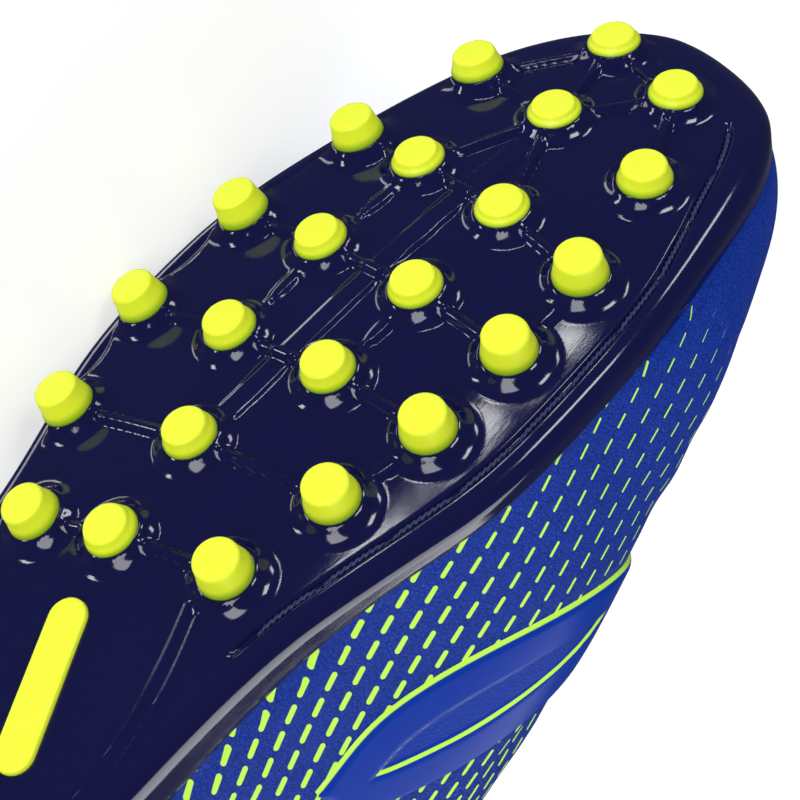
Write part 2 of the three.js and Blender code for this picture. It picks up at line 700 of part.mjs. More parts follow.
// The rest frame: up is away from that face, and the toe points to -X.
const up = restFace.normal.clone().negate();
const toeward = new THREE.Vector3(1, 0, 0);
const right = toeward.clone().addScaledVector(up, -toeward.dot(up)).normalize().negate();
const back = up.clone().cross(right).normalize();
const lay = new THREE.Matrix4().makeBasis(right, back, up).transpose();
geometries.forEach((g) => g.applyMatrix4(lay));
const bounds = new THREE.Box3();
geometries.forEach((g) => {
  g.computeBoundingBox();
  bounds.union(g.boundingBox);
});
const middle = bounds.getCenter(new THREE.Vector3());
const settle = new THREE.Matrix4().makeTranslation(-middle.x, -middle.y, -bounds.min.z);

const shoe = new THREE.Group();
shoe.name = 'soccer_cleat';
pieces.forEach(([name, , finish], k) => {
  geometries[k].applyMatrix4(settle);
  const mesh = new THREE.Mesh(geometries[k], new THREE.MeshStandardMaterial(finish));
  mesh.name = name;
  shoe.add(mesh);
});

export default shoe;
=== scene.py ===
"""Visual model of a right-foot soccer cleat that lies on its outer side.

Shapes are worked out in the shoe's own frame, in millimetres: +X from heel to toe, +Y to the inner
(medial) side, +Z up out of the collar. Pose carries them into the row frame, in metres.
"""

import logging
import math
from dataclasses import dataclass
from enum import Enum
from typing import Callable, Optional, Sequence, Union

import bmesh
import bpy
import numpy as np
from mathutils import Matrix, Vector

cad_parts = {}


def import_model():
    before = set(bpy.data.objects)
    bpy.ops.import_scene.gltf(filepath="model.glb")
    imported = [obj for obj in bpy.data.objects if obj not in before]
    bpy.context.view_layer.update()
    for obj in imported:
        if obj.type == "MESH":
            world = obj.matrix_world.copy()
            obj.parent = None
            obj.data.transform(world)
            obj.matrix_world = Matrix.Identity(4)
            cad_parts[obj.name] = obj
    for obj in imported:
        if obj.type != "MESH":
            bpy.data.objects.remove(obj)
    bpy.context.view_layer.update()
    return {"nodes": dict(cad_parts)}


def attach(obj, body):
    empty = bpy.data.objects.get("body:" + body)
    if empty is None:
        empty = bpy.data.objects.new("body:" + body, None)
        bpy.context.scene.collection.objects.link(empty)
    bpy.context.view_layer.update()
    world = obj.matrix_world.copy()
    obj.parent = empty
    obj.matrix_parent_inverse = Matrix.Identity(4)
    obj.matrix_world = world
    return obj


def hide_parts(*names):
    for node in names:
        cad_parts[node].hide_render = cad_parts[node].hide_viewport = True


log = logging.getLogger("cleat")
Array = np.ndarray
Curve = Callable[[Array], Array]
QUARTER = math.pi / 2

# What a node's input takes: another node's output, a constant, or nothing.
Value = Union["Sock", float, Sequence[float], None]


@dataclass(frozen=True)
class Sizes:
    """The shoe's driving sizes, in millimetres.

    The two settles lower the vamp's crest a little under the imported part's, after the photograph.
    """

    sole_length: float = 286.0
    ball_width: float = 94.0
    plate_rise: float = 5.2
    collar_height: float = 2.2
    collar_spread: float = 3.2
    stud_tip_radius: float = 4.3
    stud_base_radius: float = 5.1
    stud_rounding: float = 0.9
    toe_spring: float = 12.0
    spring_start: float = 0.68
    arch_rise: float = 4.5
    crown_rise: float = 4.3
    plate_thickness: float = 3.0
    rim_thickness: float = 1.7
    side_wall_height: float = 13.0
    stitch_inset: float = 4.4
    stitch_width: float = 1.5
    stitch_depth: float = 0.9
    rib_height: float = 1.4
    fit_gap: float = 0.3
    wall: float = 1.8
    side_bulge: float = 4.5
    fullness: float = 0.78
    toe_box_height: float = 43.0
    ball_height: float = 74.0
    instep_height: float = 108.0
    ankle_height: float = 118.0
    heel_height: float = 78.0
    ankle_dip: float = 62.0
    throat_half_width: float = 11.0
    eyestay_band: float = 13.0
    eyestay_drop: float = 34.0
    tongue_thickness: float = 2.4
    eyelet_radius: float = 2.7
    lace_rows: int = 4
    ball_settle: float = 3.4
    toe_settle: float = 2.4


SIZES = Sizes()

# The plate's edge, heel to toe: x as a share of the sole's length, then the outer and the inner
# edge's y as shares of the ball width.
HEEL_TIP = (0.0, 0.0)
TOE_TIP = (1.0, 0.064)
EDGE_ROWS = (
    (0.012, -0.150, 0.150),
    (0.048, -0.262, 0.262),
    (0.110, -0.338, 0.338),
    (0.200, -0.345, 0.342),
    (0.300, -0.322, 0.320),
    (0.400, -0.332, 0.345),
    (0.490, -0.362, 0.385),
    (0.570, -0.450, 0.452),
    (0.640, -0.474, 0.512),
    (0.720, -0.455, 0.527),
    (0.800, -0.382, 0.515),
    (0.880, -0.300, 0.470),
    (0.930, -0.232, 0.428),
    (0.972, -0.125, 0.342),
    (0.992, -0.025, 0.215),
)

# Where the waist is, as a share of the edge's run from the heel to the toe.
WAIST = 0.4

# Rows of (x share, share of the named height or swell).
ARCH_ROWS = ((0, 0.15), (0.12, 0), (0.24, 0.8), (0.34, 1), (0.45, 0.3), (0.52, 0), (1, 0))
SIDE_WALL_ROWS = ((0, 0.8), (0.15, 0.8), (0.34, 1), (0.46, 0.85), (0.58, 0.52), (0.86, 0.48), (1, 0.58))
INNER_BULGE = ((0, 0.9), (0.2, 0.8), (0.34, 3.1), (0.5, 3.9), (0.7, 2.4), (0.82, 2.4), (0.92, 1.5), (1, 1.0))
OUTER_BULGE = ((0, 0.9), (0.2, 0.4), (0.34, 0.2), (0.5, 1.0), (0.7, 0.9), (0.9, 0.8), (1, 0.8))

# The foot form's crest: x share, y share of the ball width, z in millimetres.
CREST_ROWS = (
    (0.165, 0.000, SIZES.ankle_height),
    (0.340, 0.030, SIZES.ankle_height),
    (0.450, 0.110, SIZES.instep_height),
    (0.560, 0.150, (SIZES.instep_height + SIZES.ball_height) / 2),
    (0.680, 0.165, SIZES.ball_height - SIZES.ball_settle),
    (0.840, 0.130, SIZES.toe_box_height + SIZES.toe_spring / 2 - SIZES.toe_settle),
)

# Studs: name, then the tip's x and y and the coloured cone's height.
STUDS = (
    ("t1", 276.0, -2.0, 2.2), ("t2", 270.5, 18.0, 2.5),
    ("c1", 257.0, -20.5, 3.8), ("c2", 254.0, 2.5, 2.1), ("c3", 249.5, 28.5, 3.7),
    ("b1", 231.0, -28.5, 4.8), ("b2", 231.0, -11.5, 2.3), ("b3", 229.5, 11.5, 2.2), ("b4", 225.5, 34.0, 5.4),
    ("a1", 205.0, -35.5, 5.2), ("a2", 206.5, -14.0, 2.9), ("a3", 207.0, 10.5, 2.8), ("a4", 205.5, 34.5, 5.5),
    ("d1", 179.0, -38.0, 5.0), ("d2", 182.5, -15.0, 3.5), ("d3", 185.0, 9.0, 3.6), ("d4", 185.5, 33.0, 5.4),
    ("e1", 154.5, -33.0, 5.1), ("e2", 161.5, -4.0, 3.5), ("e3", 166.0, 28.0, 5.3),
    ("f1", 134.0, -19.5, 4.6), ("f2", 139.5, -2.5, 3.0), ("f3", 145.0, 22.0, 5.4),
    ("h1", 68.0, -22.0, 6.2), ("h2", 70.0, 0.0, 5.8), ("h3", 68.0, 22.0, 6.2),
    ("k1", 45.0, -24.0, 6.2), ("k2", 46.0, 0.0, 5.8), ("k3", 45.0, 24.0, 6.2),
    ("m1", 23.0, -18.5, 6.2), ("m2", 20.0, 0.0, 6.2), ("m3", 23.0, 18.5, 6.2),
)

# Low ribs between studs, by the studs' names: rounded ones, then lens-shaped ones.
RIBS = (
    ("t1", "t2"), ("t1", "c1"), ("t1", "c2"), ("t2", "c2"), ("t2", "c3"), ("c1", "c2"), ("c2", "b2"),
    ("c2", "b3"), ("b1", "b2"), ("b2", "b3"), ("b3", "b4"), ("a1", "a2"), ("a2", "a3"), ("a3", "a4"),
    ("d1", "d2"), ("d2", "d3"), ("d3", "d4"), ("e1", "e2"), ("e2", "e3"), ("f1", "f2"), ("f2", "f3"),
)
LENS_RIBS = (("d2", "a2"), ("a4", "b4"), ("e3", "d4"), ("a2", "b2"), ("d3", "a3"))
EDGE_SCOOPS = (("c1", "b1"), ("b1", "a1"), ("a1", "d1"), ("d1", "e1"))

# Creases placed in the side view: which side, where each starts and ends in x and z, its half
# width, and how far it stands out. Those of both sides cross the vamp.
CREASES = (
    ("both", (215, 68), (206, 32), 4.2, -0.3),
    ("both", (222, 66), (213, 34), 3.6, 0.15),
    ("both", (229, 64), (220, 30), 4.0, -0.25),
    ("inner", (204, 60), (150, 65), 2.6, -0.8),
    ("inner", (202, 64.5), (156, 70), 2.4, 0.4),
    ("inner", (117, 28), (126, 62), 4.5, -0.7),
    ("inner", (84, 38), (104, 66), 6.5, -0.9),
    ("inner", (60, 44), (76, 58), 6.0, -0.6),
    ("outer", (150, 38), (178, 58), 5.0, -0.7),
    ("outer", (90, 36), (110, 64), 6.5, -0.9),
    ("outer", (62, 44), (78, 58), 6.0, -0.6),
)

# The camera of the photograph, in the shoe's frame.
CAMERA_PLACE = (82.2, 244.9, -281.4)
CAMERA_RIGHT = (0.645, 0.7009, 0.3044)
CAMERA_DOWN = (-0.7113, 0.405, 0.5745)
LENS = 99.0
SENSOR = 36.0


def profile(rows: Sequence[Sequence[float]]) -> Curve:
    """Makes a smooth function through (place, value) rows.

    Args:
        rows: the rows, by rising place.

    Returns:
        A function of an array of places.
    """
    places = np.array([row[0] for row in rows], float)
    values = np.array([row[1] for row in rows], float)
    last = len(rows) - 1
    low = np.maximum(np.arange(last + 1) - 1, 0)
    high = np.minimum(np.arange(last + 1) + 1, last)
    slopes = (values[high] - values[low]) / (places[high] - places[low])

    def at(share: Array) -> Array:
        """Evaluates the function.

        Args:
            share: places, held at the first and the last row.

        Returns:
            The values there.
        """
        share = np.asarray(share, float)
        k = np.clip(np.searchsorted(places, share), 1, last)
        step = places[k] - places[k - 1]
        t = np.clip((share - places[k - 1]) / step, 0, 1)
        start = (2 * t**3 - 3 * t**2 + 1) * values[k - 1] + (t**3 - 2 * t**2 + t) * step * slopes[k - 1]
        return start + (3 * t**2 - 2 * t**3) * values[k] + (t**3 - t**2) * step * slopes[k]

    return at


def spline(points: Array, t: Array, closed: bool = False) -> Array:
    """Evaluates a centripetal spline through points.

    Args:
        points: (N, D) points.
        t: places from 0 to 1.
        closed: whether the last point joins the first.

    Returns:
        (len(t), D) points on the curve.
    """
    points = np.asarray(points, float)
    count = len(points)
    spans = count if closed else count - 1
    place = np.asarray(t, float) * spans
    first = np.clip(np.floor(place).astype(int), 0, spans - 1)
    weight = (place - first)[:, None]
    if closed:
        near = [points[(first + k) % count] for k in (-1, 0, 1, 2)]
    else:
        padded = np.vstack([2 * points[0] - points[1], points, 2 * points[-1] - points[-2]])
        near = [padded[first + k] for k in (0, 1, 2, 3)]
    gaps = [np.maximum(np.linalg.norm(near[k + 1] - near[k], axis=1), 1e-6)[:, None] ** 0.5 for k in range(3)]
    rise = (near[1] - near[0]) / gaps[0] - (near[2] - near[0]) / (gaps[0] + gaps[1])
    fall = (near[2] - near[1]) / gaps[1] - (near[3] - near[1]) / (gaps[1] + gaps[2])
    start = (rise + (near[2] - near[1]) / gaps[1]) * gaps[1]
    finish = (fall + (near[3] - near[2]) / gaps[2]) * gaps[1]
    cubic = 2 * near[1] - 2 * near[2] + start + finish
    square = -3 * near[1] + 3 * near[2] - 2 * start - finish
    return near[1] + start * weight + square * weight**2 + cubic * weight**3


def smoothstep(low: float, high: float, value: Array) -> Array:
    """Rises smoothly from 0 at low to 1 at high."""
    t = np.clip((np.asarray(value, float) - low) / (high - low), 0, 1)
    return t * t * (3 - 2 * t)


@dataclass
class Edge:
    """Stations around the plate's edge: places, outward directions, and x shares of each pair."""

    at: Array
    out: Array
    share: Array

    @property
    def inner(self) -> Array:
        """Whether each station is on the shoe's inner side."""
        return self.out[:, 1] > 0


class Last:
    """The last: the plate's edge and ground face, and the closed foot form over them."""

    def __init__(self, sizes: Sizes) -> None:
        """Works out the edge's loop and the curves of the form.

        Args:
            sizes: the shoe's driving sizes.
        """
        self.sizes = sizes
        scale = np.array([sizes.sole_length, sizes.ball_width])
        inner = [(x, right) for x, _, right in EDGE_ROWS]
        outer = [(x, left) for x, left, _ in reversed(EDGE_ROWS)]
        self._loop = self._smooth(np.array([HEEL_TIP, *inner, TOE_TIP, *outer]) * scale)
        self.arch_at = profile(ARCH_ROWS)
        self.wall_at = profile(SIDE_WALL_ROWS)
        self.inner_bulge = profile(INNER_BULGE)
        self.outer_bulge = profile(OUTER_BULGE)
        self.crest_y = profile([(x, y) for x, y, _ in CREST_ROWS])
        self.crest_z = profile([(x, z) for x, _, z in CREST_ROWS])
        self.crest_ends = (CREST_ROWS[0][0], CREST_ROWS[-1][0])
        self.feather = sizes.rim_thickness + 0.4 + sizes.fit_gap

    @staticmethod
    def _smooth(rows: Array, fine: int = 12) -> Array:
        """The loop through the edge's rows at finer steps, with its small kinks taken out.

        Args:
            rows: (N, 2) points on the edge.
            fine: steps from one row to the next.

        Returns:
            (N * fine, 2) points.
        """
        count = len(rows) * fine
        loop = spline(rows, np.arange(count) / count, closed=True)
        reach = np.arange(-fine, fine + 1)
        weight = np.exp(-((reach / (0.42 * fine)) ** 2))
        return sum(np.roll(loop, -k, axis=0) * w for k, w in zip(reach, weight / weight.sum()))

    def spread(self, edge: Edge) -> Array:
        """How much farther in the edge's forms lie round the inner side of the toe."""
        return 1 + 0.6 * smoothstep(0.80, 0.92, edge.share) * smoothstep(-0.2, 0.5, edge.out[:, 1])

    def edge(self, t: Array) -> Edge:
        """Works out the stations at places t around the edge, from the heel by the inner side.

        Args:
            t: places from 0 to 1.

        Returns:
            The stations.
        """
        step = 1e-4
        at = spline(self._loop, t, closed=True)
        along = spline(self._loop, np.mod(t + step, 1), True) - spline(self._loop, np.mod(t - step, 1), True)
        along /= np.linalg.norm(along, axis=1)[:, None]
        partner = spline(self._loop, np.mod(1 - t, 1), closed=True)
        share = (at[:, 0] + partner[:, 0]) / (2 * self.sizes.sole_length)
        return Edge(at, np.stack([-along[:, 1], along[:, 0]], 1), share)

    def stations(self, steps: int, behind: float = WAIST) -> Array:
        """Places around the whole edge, evenly spaced before and behind the waist, and paired.

        Args:
            steps: how many steps each side has.
            behind: the share of them behind the waist.

        Returns:
            The 2 * steps places, from 0 to 1.
        """
        fine = np.linspace(0, 0.5, 4001)
        even = np.linspace(0, 1, steps + 1)
        points = spline(self._loop, fine, closed=True)
        run = np.concatenate([[0], np.cumsum(np.linalg.norm(np.diff(points, axis=0), axis=1))])
        half = np.interp(np.interp(even, [0, behind, 1], [0, WAIST, 1]) * run[-1], run, fine)
        return np.concatenate([half, 1 - half[-2:0:-1]])

    def ground(self, x: Array, y: Array) -> Array:
        """The height of the plate's ground face.

        Args:
            x: places along the shoe.
            y: places across the shoe.

        Returns:
            The heights, in millimetres.
        """
        s = self.sizes
        share = x / s.sole_length
        spring = s.toe_spring * np.maximum(0, (share - s.spring_start) / (1 - s.spring_start)) ** 2
        crown = s.crown_rise * (y / (s.ball_width / 2)) ** 2
        return s.plate_rise + spring + crown + s.arch_rise * self.arch_at(share)

    def ground_out(self, x: Array, y: Array) -> Array:
        """The direction straight out of the ground face, towards the ground.

        Args:
            x: places along the shoe.
            y: places across the shoe.

        Returns:
            (..., 3) unit vectors.
        """
        slope_x = self.ground(x + 0.5, y) - self.ground(x - 0.5, y)
        slope_y = self.ground(x, y + 0.5) - self.ground(x, y - 0.5)
        out = np.stack([slope_x, slope_y, -np.ones_like(slope_x)], -1)
        return out / np.linalg.norm(out, axis=-1, keepdims=True)

    def on_ground(self, plan: Array, lift: Array) -> Array:
        """Points at plan places, lifted out of the ground face.

        Args:
            plan: (..., 2) plan places.
            lift: how far out of the ground face.

        Returns:
            (..., 3) points.
        """
        x, y = plan[..., 0], plan[..., 1]
        base = np.stack([x, y, self.ground(x, y)], -1)
        return base + self.ground_out(x, y) * np.asarray(lift)[..., None]

    def wall_top(self, share: Array) -> Array:
        """The side wall's height over the ground face."""
        return self.sizes.side_wall_height * self.wall_at(share)

    def lean(self, share: Array) -> Array:
        """How far the side wall's top leans in from the edge."""
        return 0.3 + 0.16 * np.maximum(0, self.wall_top(share) - 6)

    def stud_foot(self, x: float, y: float, cone: float) -> tuple[Array, Array]:
        """The foot of a stud's axis on the ground face, and the axis.

        Args:
            x: the tip's place along the shoe.
            y: the tip's place across it.
            cone: the height of the stud's coloured cone.

        Returns:
            The foot and the unit axis.
        """
        out = self.ground_out(np.array(x), np.array(y))
        foot = np.array([x, y]) - out[:2] * (self.sizes.collar_height + cone)
        return np.append(foot, self.ground(foot[0], foot[1])), out

    def foot(self, edge: Edge, turn: Array, inset: Array = 0.0, bottom: float = -4.0) -> Array:
        """Points of the foot form.

        Args:
            edge: C stations around the edge.
            turn: (C, R) turns from the feather line, 0, up to the crest, a quarter turn.
            inset: how far the form is drawn in.
            bottom: how far the feather line is over the ground face.

        Returns:
            (C, R, 3) points.
        """
        s = self.sizes
        turn, inset = np.broadcast_arrays(turn, inset)
        share = np.clip(edge.share, *self.crest_ends)
        crest = np.stack([share * s.sole_length, self.crest_y(share) * s.ball_width], -1)[:, None, :]
        out = edge.out[:, None, :]
        feather = edge.at[:, None, :] - out * (self.feather + inset)[..., None]
        low = self.ground(feather[..., 0], feather[..., 1]) + bottom
        high = self.crest_z(share)[:, None] - inset * 1.12
        across = 1 - np.clip(np.cos(turn), 0, 1) ** s.fullness
        up = np.clip(np.sin(turn), 0, 1) ** s.fullness
        bulge = np.where(edge.inner, self.inner_bulge(edge.share), self.outer_bulge(edge.share))[:, None]
        swell = s.side_bulge * bulge * np.clip(np.sin(np.minimum(turn * 2.2, math.pi)), 0, 1) ** 1.2
        plan = feather + (crest - feather) * across[..., None] + out * swell[..., None]
        return np.concatenate([plan, (low + (high - low) * up)[..., None]], -1)

    @staticmethod
    def creases(edge: Edge, turn: Array, points: Array) -> Array:
        """How far the creases stand out at points of the foot form, below 0 in a trough.

        Args:
            edge: C stations around the plate's edge.
            turn: (C, R) turns up the form.
            points: (C, R, 3) points there.

        Returns:
            (C, R) heights, in millimetres.
        """
        height = np.zeros(points.shape[:2])
        off_crest = 1 - smoothstep(1.3, 1.5, turn)
        inner = edge.inner[:, None]
        masks = {"both": 1.0, "inner": inner * off_crest, "outer": ~inner * off_crest}
        for side, start, end, half, rise in CREASES:
            away, share = segment(points[..., 0], points[..., 2], np.array(start), np.array(end))
            taper = smoothstep(-0.05, 0.3, share) * (1 - smoothstep(0.7, 1.05, share))
            height = height + rise * np.exp(-((away / half) ** 2)) * taper * masks[side]
        return height

    def skin(self, edge: Edge, turn: Array, lift: Array = 0.0) -> Array:
        """Points at a lift over the creased skin of the foot form."""
        turn, lift = np.broadcast_arrays(turn, lift)
        return self.foot(edge, turn, -lift - self.creases(edge, turn, self.foot(edge, turn)))

    def tuck(self, edge: Edge, points: Array, behind: float) -> Array:
        """Keeps points below the side wall's top behind the wall, by an amount inside its outer face.

        Args:
            edge: C stations around the plate's edge.
            points: (C, R, 3) points.
            behind: how far inside the wall's outer face.

        Returns:
            The moved points.
        """
        top = self.ground(edge.at[:, 0], edge.at[:, 1]) + self.wall_top(edge.share)
        outward = np.einsum("crk,ck->cr", points[..., :2] - edge.at[:, None, :], edge.out)
        limit = -(self.lean(edge.share) + behind)[:, None]
        free = smoothstep(-0.2, 1.6, points[..., 2] - top[:, None])
        move = (np.minimum(outward, limit) - outward) * (1 - free)
        moved = points.copy()
        moved[..., :2] += edge.out[:, None, :] * move[..., None]
        return moved


class Pose:
    """Carries points from the shoe's frame, in millimetres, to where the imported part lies."""

    def __init__(self, last: Last, nodes: dict[str, bpy.types.Object]) -> None:
        """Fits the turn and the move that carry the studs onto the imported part's.

        Args:
            last: the last that the shoe is built on.
            nodes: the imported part's nodes by name.
        """
        s = last.sizes
        shoe, row = [], []
        for name, x, y, cone in STUDS:
            foot, out = last.stud_foot(x, y, cone)
            reach = s.collar_height + cone
            middle = (s.collar_height + s.fit_gap + 2 * reach - 0.6) / 3
            shoe.append(foot + out * middle)
            corners = {tuple(round(c * 1000, 3) for c in v.co) for v in nodes[f"stud_{name}"].data.vertices}
            row.append(np.mean(list(corners), axis=0))
        shoe, row = np.array(shoe), np.array(row)
        self._from, self._to = shoe.mean(0), row.mean(0)
        left, _, right = np.linalg.svd((shoe - self._from).T @ (row - self._to))
        flip = np.diag([1, 1, np.sign(np.linalg.det(left @ right))])
        self._turn = left @ flip @ right
        miss = np.abs((shoe - self._from) @ self._turn + self._to - row).max()
        log.info("pose: the studs fit the frame within %.2f mm", miss)

    def place(self, points: Array) -> Array:
        """Points in the row frame, in metres."""
        return ((np.asarray(points, float) - self._from) @ self._turn + self._to) / 1000

    def aim(self, direction: Sequence[float]) -> Vector:
        """A direction in the row frame."""
        return Vector(np.asarray(direction, float) @ self._turn)


class Surface:
    """One piece's vertices, quads and point values, gathered grid by grid."""

    def __init__(self, name: str) -> None:
        """Starts an empty piece.

        Args:
            name: the piece's name.
        """
        self.name = name
        self._points: list[Array] = []
        self._quads: list[Array] = []
        self._finish: list[Array] = []
        self._values: list[dict[str, Array]] = []
        self._count = 0

    def grid(
        self,
        points: Array,
        wrap: bool = False,
        finish: "int | Array" = 0,
        keep: Optional[Array] = None,
        values: Optional[dict[str, Array]] = None,
    ) -> None:
        """Adds a grid of quads.

        Args:
            points: (C, R, 3) points in the shoe's frame.
            wrap: whether the last column joins the first.
            finish: the material index of the faces, one or (C', R - 1).
            keep: which faces stay, (C', R - 1).
            values: named point values, (C, R) or (C, R, 3).
        """
        columns, rows = points.shape[:2]
        here = np.arange(columns if wrap else columns - 1)
        there = (here + 1) % columns
        row = np.arange(rows - 1)
        corner = [here[:, None] * rows + row, there[:, None] * rows + row]
        quads = np.stack([corner[0], corner[1], corner[1] + 1, corner[0] + 1], -1)
        kept = np.ones(quads.shape[:2], bool) if keep is None else keep
        finishes = np.broadcast_to(np.asarray(finish), quads.shape[:2])
        self._points.append(points.reshape(-1, 3))
        self._quads.append(quads[kept] + self._count)
        self._finish.append(finishes[kept])
        self._values.append(values or {})
        self._count += columns * rows

    def build(
        self, pose: Pose, finishes: Sequence[bpy.types.Material], weld: float = 0.02
    ) -> bpy.types.Object:
        """Makes the Blender object.

        Args:
            pose: carries the points into the row frame.
            finishes: the materials, by index.
            weld: vertices nearer than this, in millimetres, become one.

        Returns:
            The object, linked and smooth.
        """
        points = pose.place(np.vstack(self._points)).astype(np.float32)
        quads = np.vstack(self._quads)
        mesh = bpy.data.meshes.new(self.name)
        mesh.vertices.add(len(points))
        mesh.vertices.foreach_set("co", points.ravel())
        mesh.loops.add(quads.size)
        mesh.loops.foreach_set("vertex_index", quads.astype(np.int32).ravel())
        mesh.polygons.add(len(quads))
        mesh.polygons.foreach_set("loop_start", np.arange(0, quads.size, 4, dtype=np.int32))
        mesh.polygons.foreach_set("material_index", np.concatenate(self._finish).astype(np.int32))
        mesh.update(calc_edges=True)
        names = sorted({name for values in self._values for name in values})
        for name in names:
            self._write_value(mesh, name)
        for material in finishes:
            mesh.materials.append(material)
        work = bmesh.new()
        work.from_mesh(mesh)
        bmesh.ops.remove_doubles(work, verts=work.verts, dist=weld / 1000)
        loose = [v for v in work.verts if not v.link_faces]
        bmesh.ops.delete(work, geom=loose, context="VERTS")
        bmesh.ops.recalc_face_normals(work, faces=work.faces)
        work.to_mesh(mesh)
        work.free()
        mesh.polygons.foreach_set("use_smooth", np.ones(len(mesh.polygons), bool))
        mesh.update()
        made = bpy.data.objects.new(self.name, mesh)
        bpy.context.scene.collection.objects.link(made)
        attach(made, "root")
        return made

    def _write_value(self, mesh: bpy.types.Mesh, name: str) -> None:
        """Writes one named value on every point, 0 where a grid has none.

        Args:
            mesh: the piece's mesh.
            name: the value's name.
        """
        first = next(values[name] for values in self._values if name in values)
        wide = first.ndim == 3
        parts = []
        for points, values in zip(self._points, self._values):
            empty = np.zeros((len(points), 3) if wide else len(points))
            parts.append(values[name].reshape(empty.shape) if name in values else empty)
        kind, field = ("FLOAT_VECTOR", "vector") if wide else ("FLOAT", "value")
        layer = mesh.attributes.new(name, kind, "POINT")
        layer.data.foreach_set(field, np.concatenate(parts).astype(np.float32).ravel())


class Sock:
    """An output of a material's node tree, with arithmetic on it."""

    def __init__(self, paint: "Paint", socket: bpy.types.NodeSocket) -> None:
        """Holds a painter and one output."""
        self.paint = paint
        self.socket = socket

    def _math(self, kind: str, *others: "Sock | float") -> "Sock":
        """Adds a node that works on this and others."""
        return self.paint.node("ShaderNodeMath", {"operation": kind}, self, *others)

    def __add__(self, other: "Sock | float") -> "Sock":
        """The sum."""
        return self._math("ADD", other)

    __radd__ = __add__

    def __sub__(self, other: "Sock | float") -> "Sock":
        """The difference."""
        return self._math("SUBTRACT", other)

    def __rsub__(self, other: float) -> "Sock":
        """A constant less this."""
        return (self * -1.0) + other

    def __mul__(self, other: "Sock | float") -> "Sock":
        """The product."""
        return self._math("MULTIPLY", other)

    __rmul__ = __mul__

    def __abs__(self) -> "Sock":
        """The size without its sign."""
        return self._math("ABSOLUTE")

    def round(self) -> "Sock":
        """The nearest whole number."""
        return self._math("ROUND")

    def over(self, level: float) -> "Sock":
        """How far this is above a level, else 0."""
        return (self - level)._math("MAXIMUM", 0.0)

    def root(self) -> "Sock":
        """The square root."""
        return self._math("SQRT")

    def sine(self) -> "Sock":
        """The sine, in radians."""
        return self._math("SINE")

    def step(self, low: float, high: float) -> "Sock":
        """Rises smoothly from 0 at low to 1 at high.

        Args:
            low: where the rise starts.
            high: where it ends.

        Returns:
            The risen value, from 0 to 1.
        """
        return self.paint.node(
            "ShaderNodeMapRange", {"interpolation_type": "SMOOTHSTEP", "clamp": True}, self, low, high
        )

    def scaled(self, factor: "float | Sequence[float]") -> "Sock":
        """This vector, scaled."""
        scale = (factor,) * 3 if isinstance(factor, (int, float)) else tuple(factor)
        return self.paint.node("ShaderNodeVectorMath", {"operation": "MULTIPLY"}, self, scale)

    def plus(self, other: "Sock | Sequence[float]") -> "Sock":
        """This vector, moved."""
        return self.paint.node("ShaderNodeVectorMath", {"operation": "ADD"}, self, other)

    def part(self, axis: int) -> "Sock":
        """One component of this vector."""
        return self.paint.node("ShaderNodeSeparateXYZ", {}, self, output=axis)


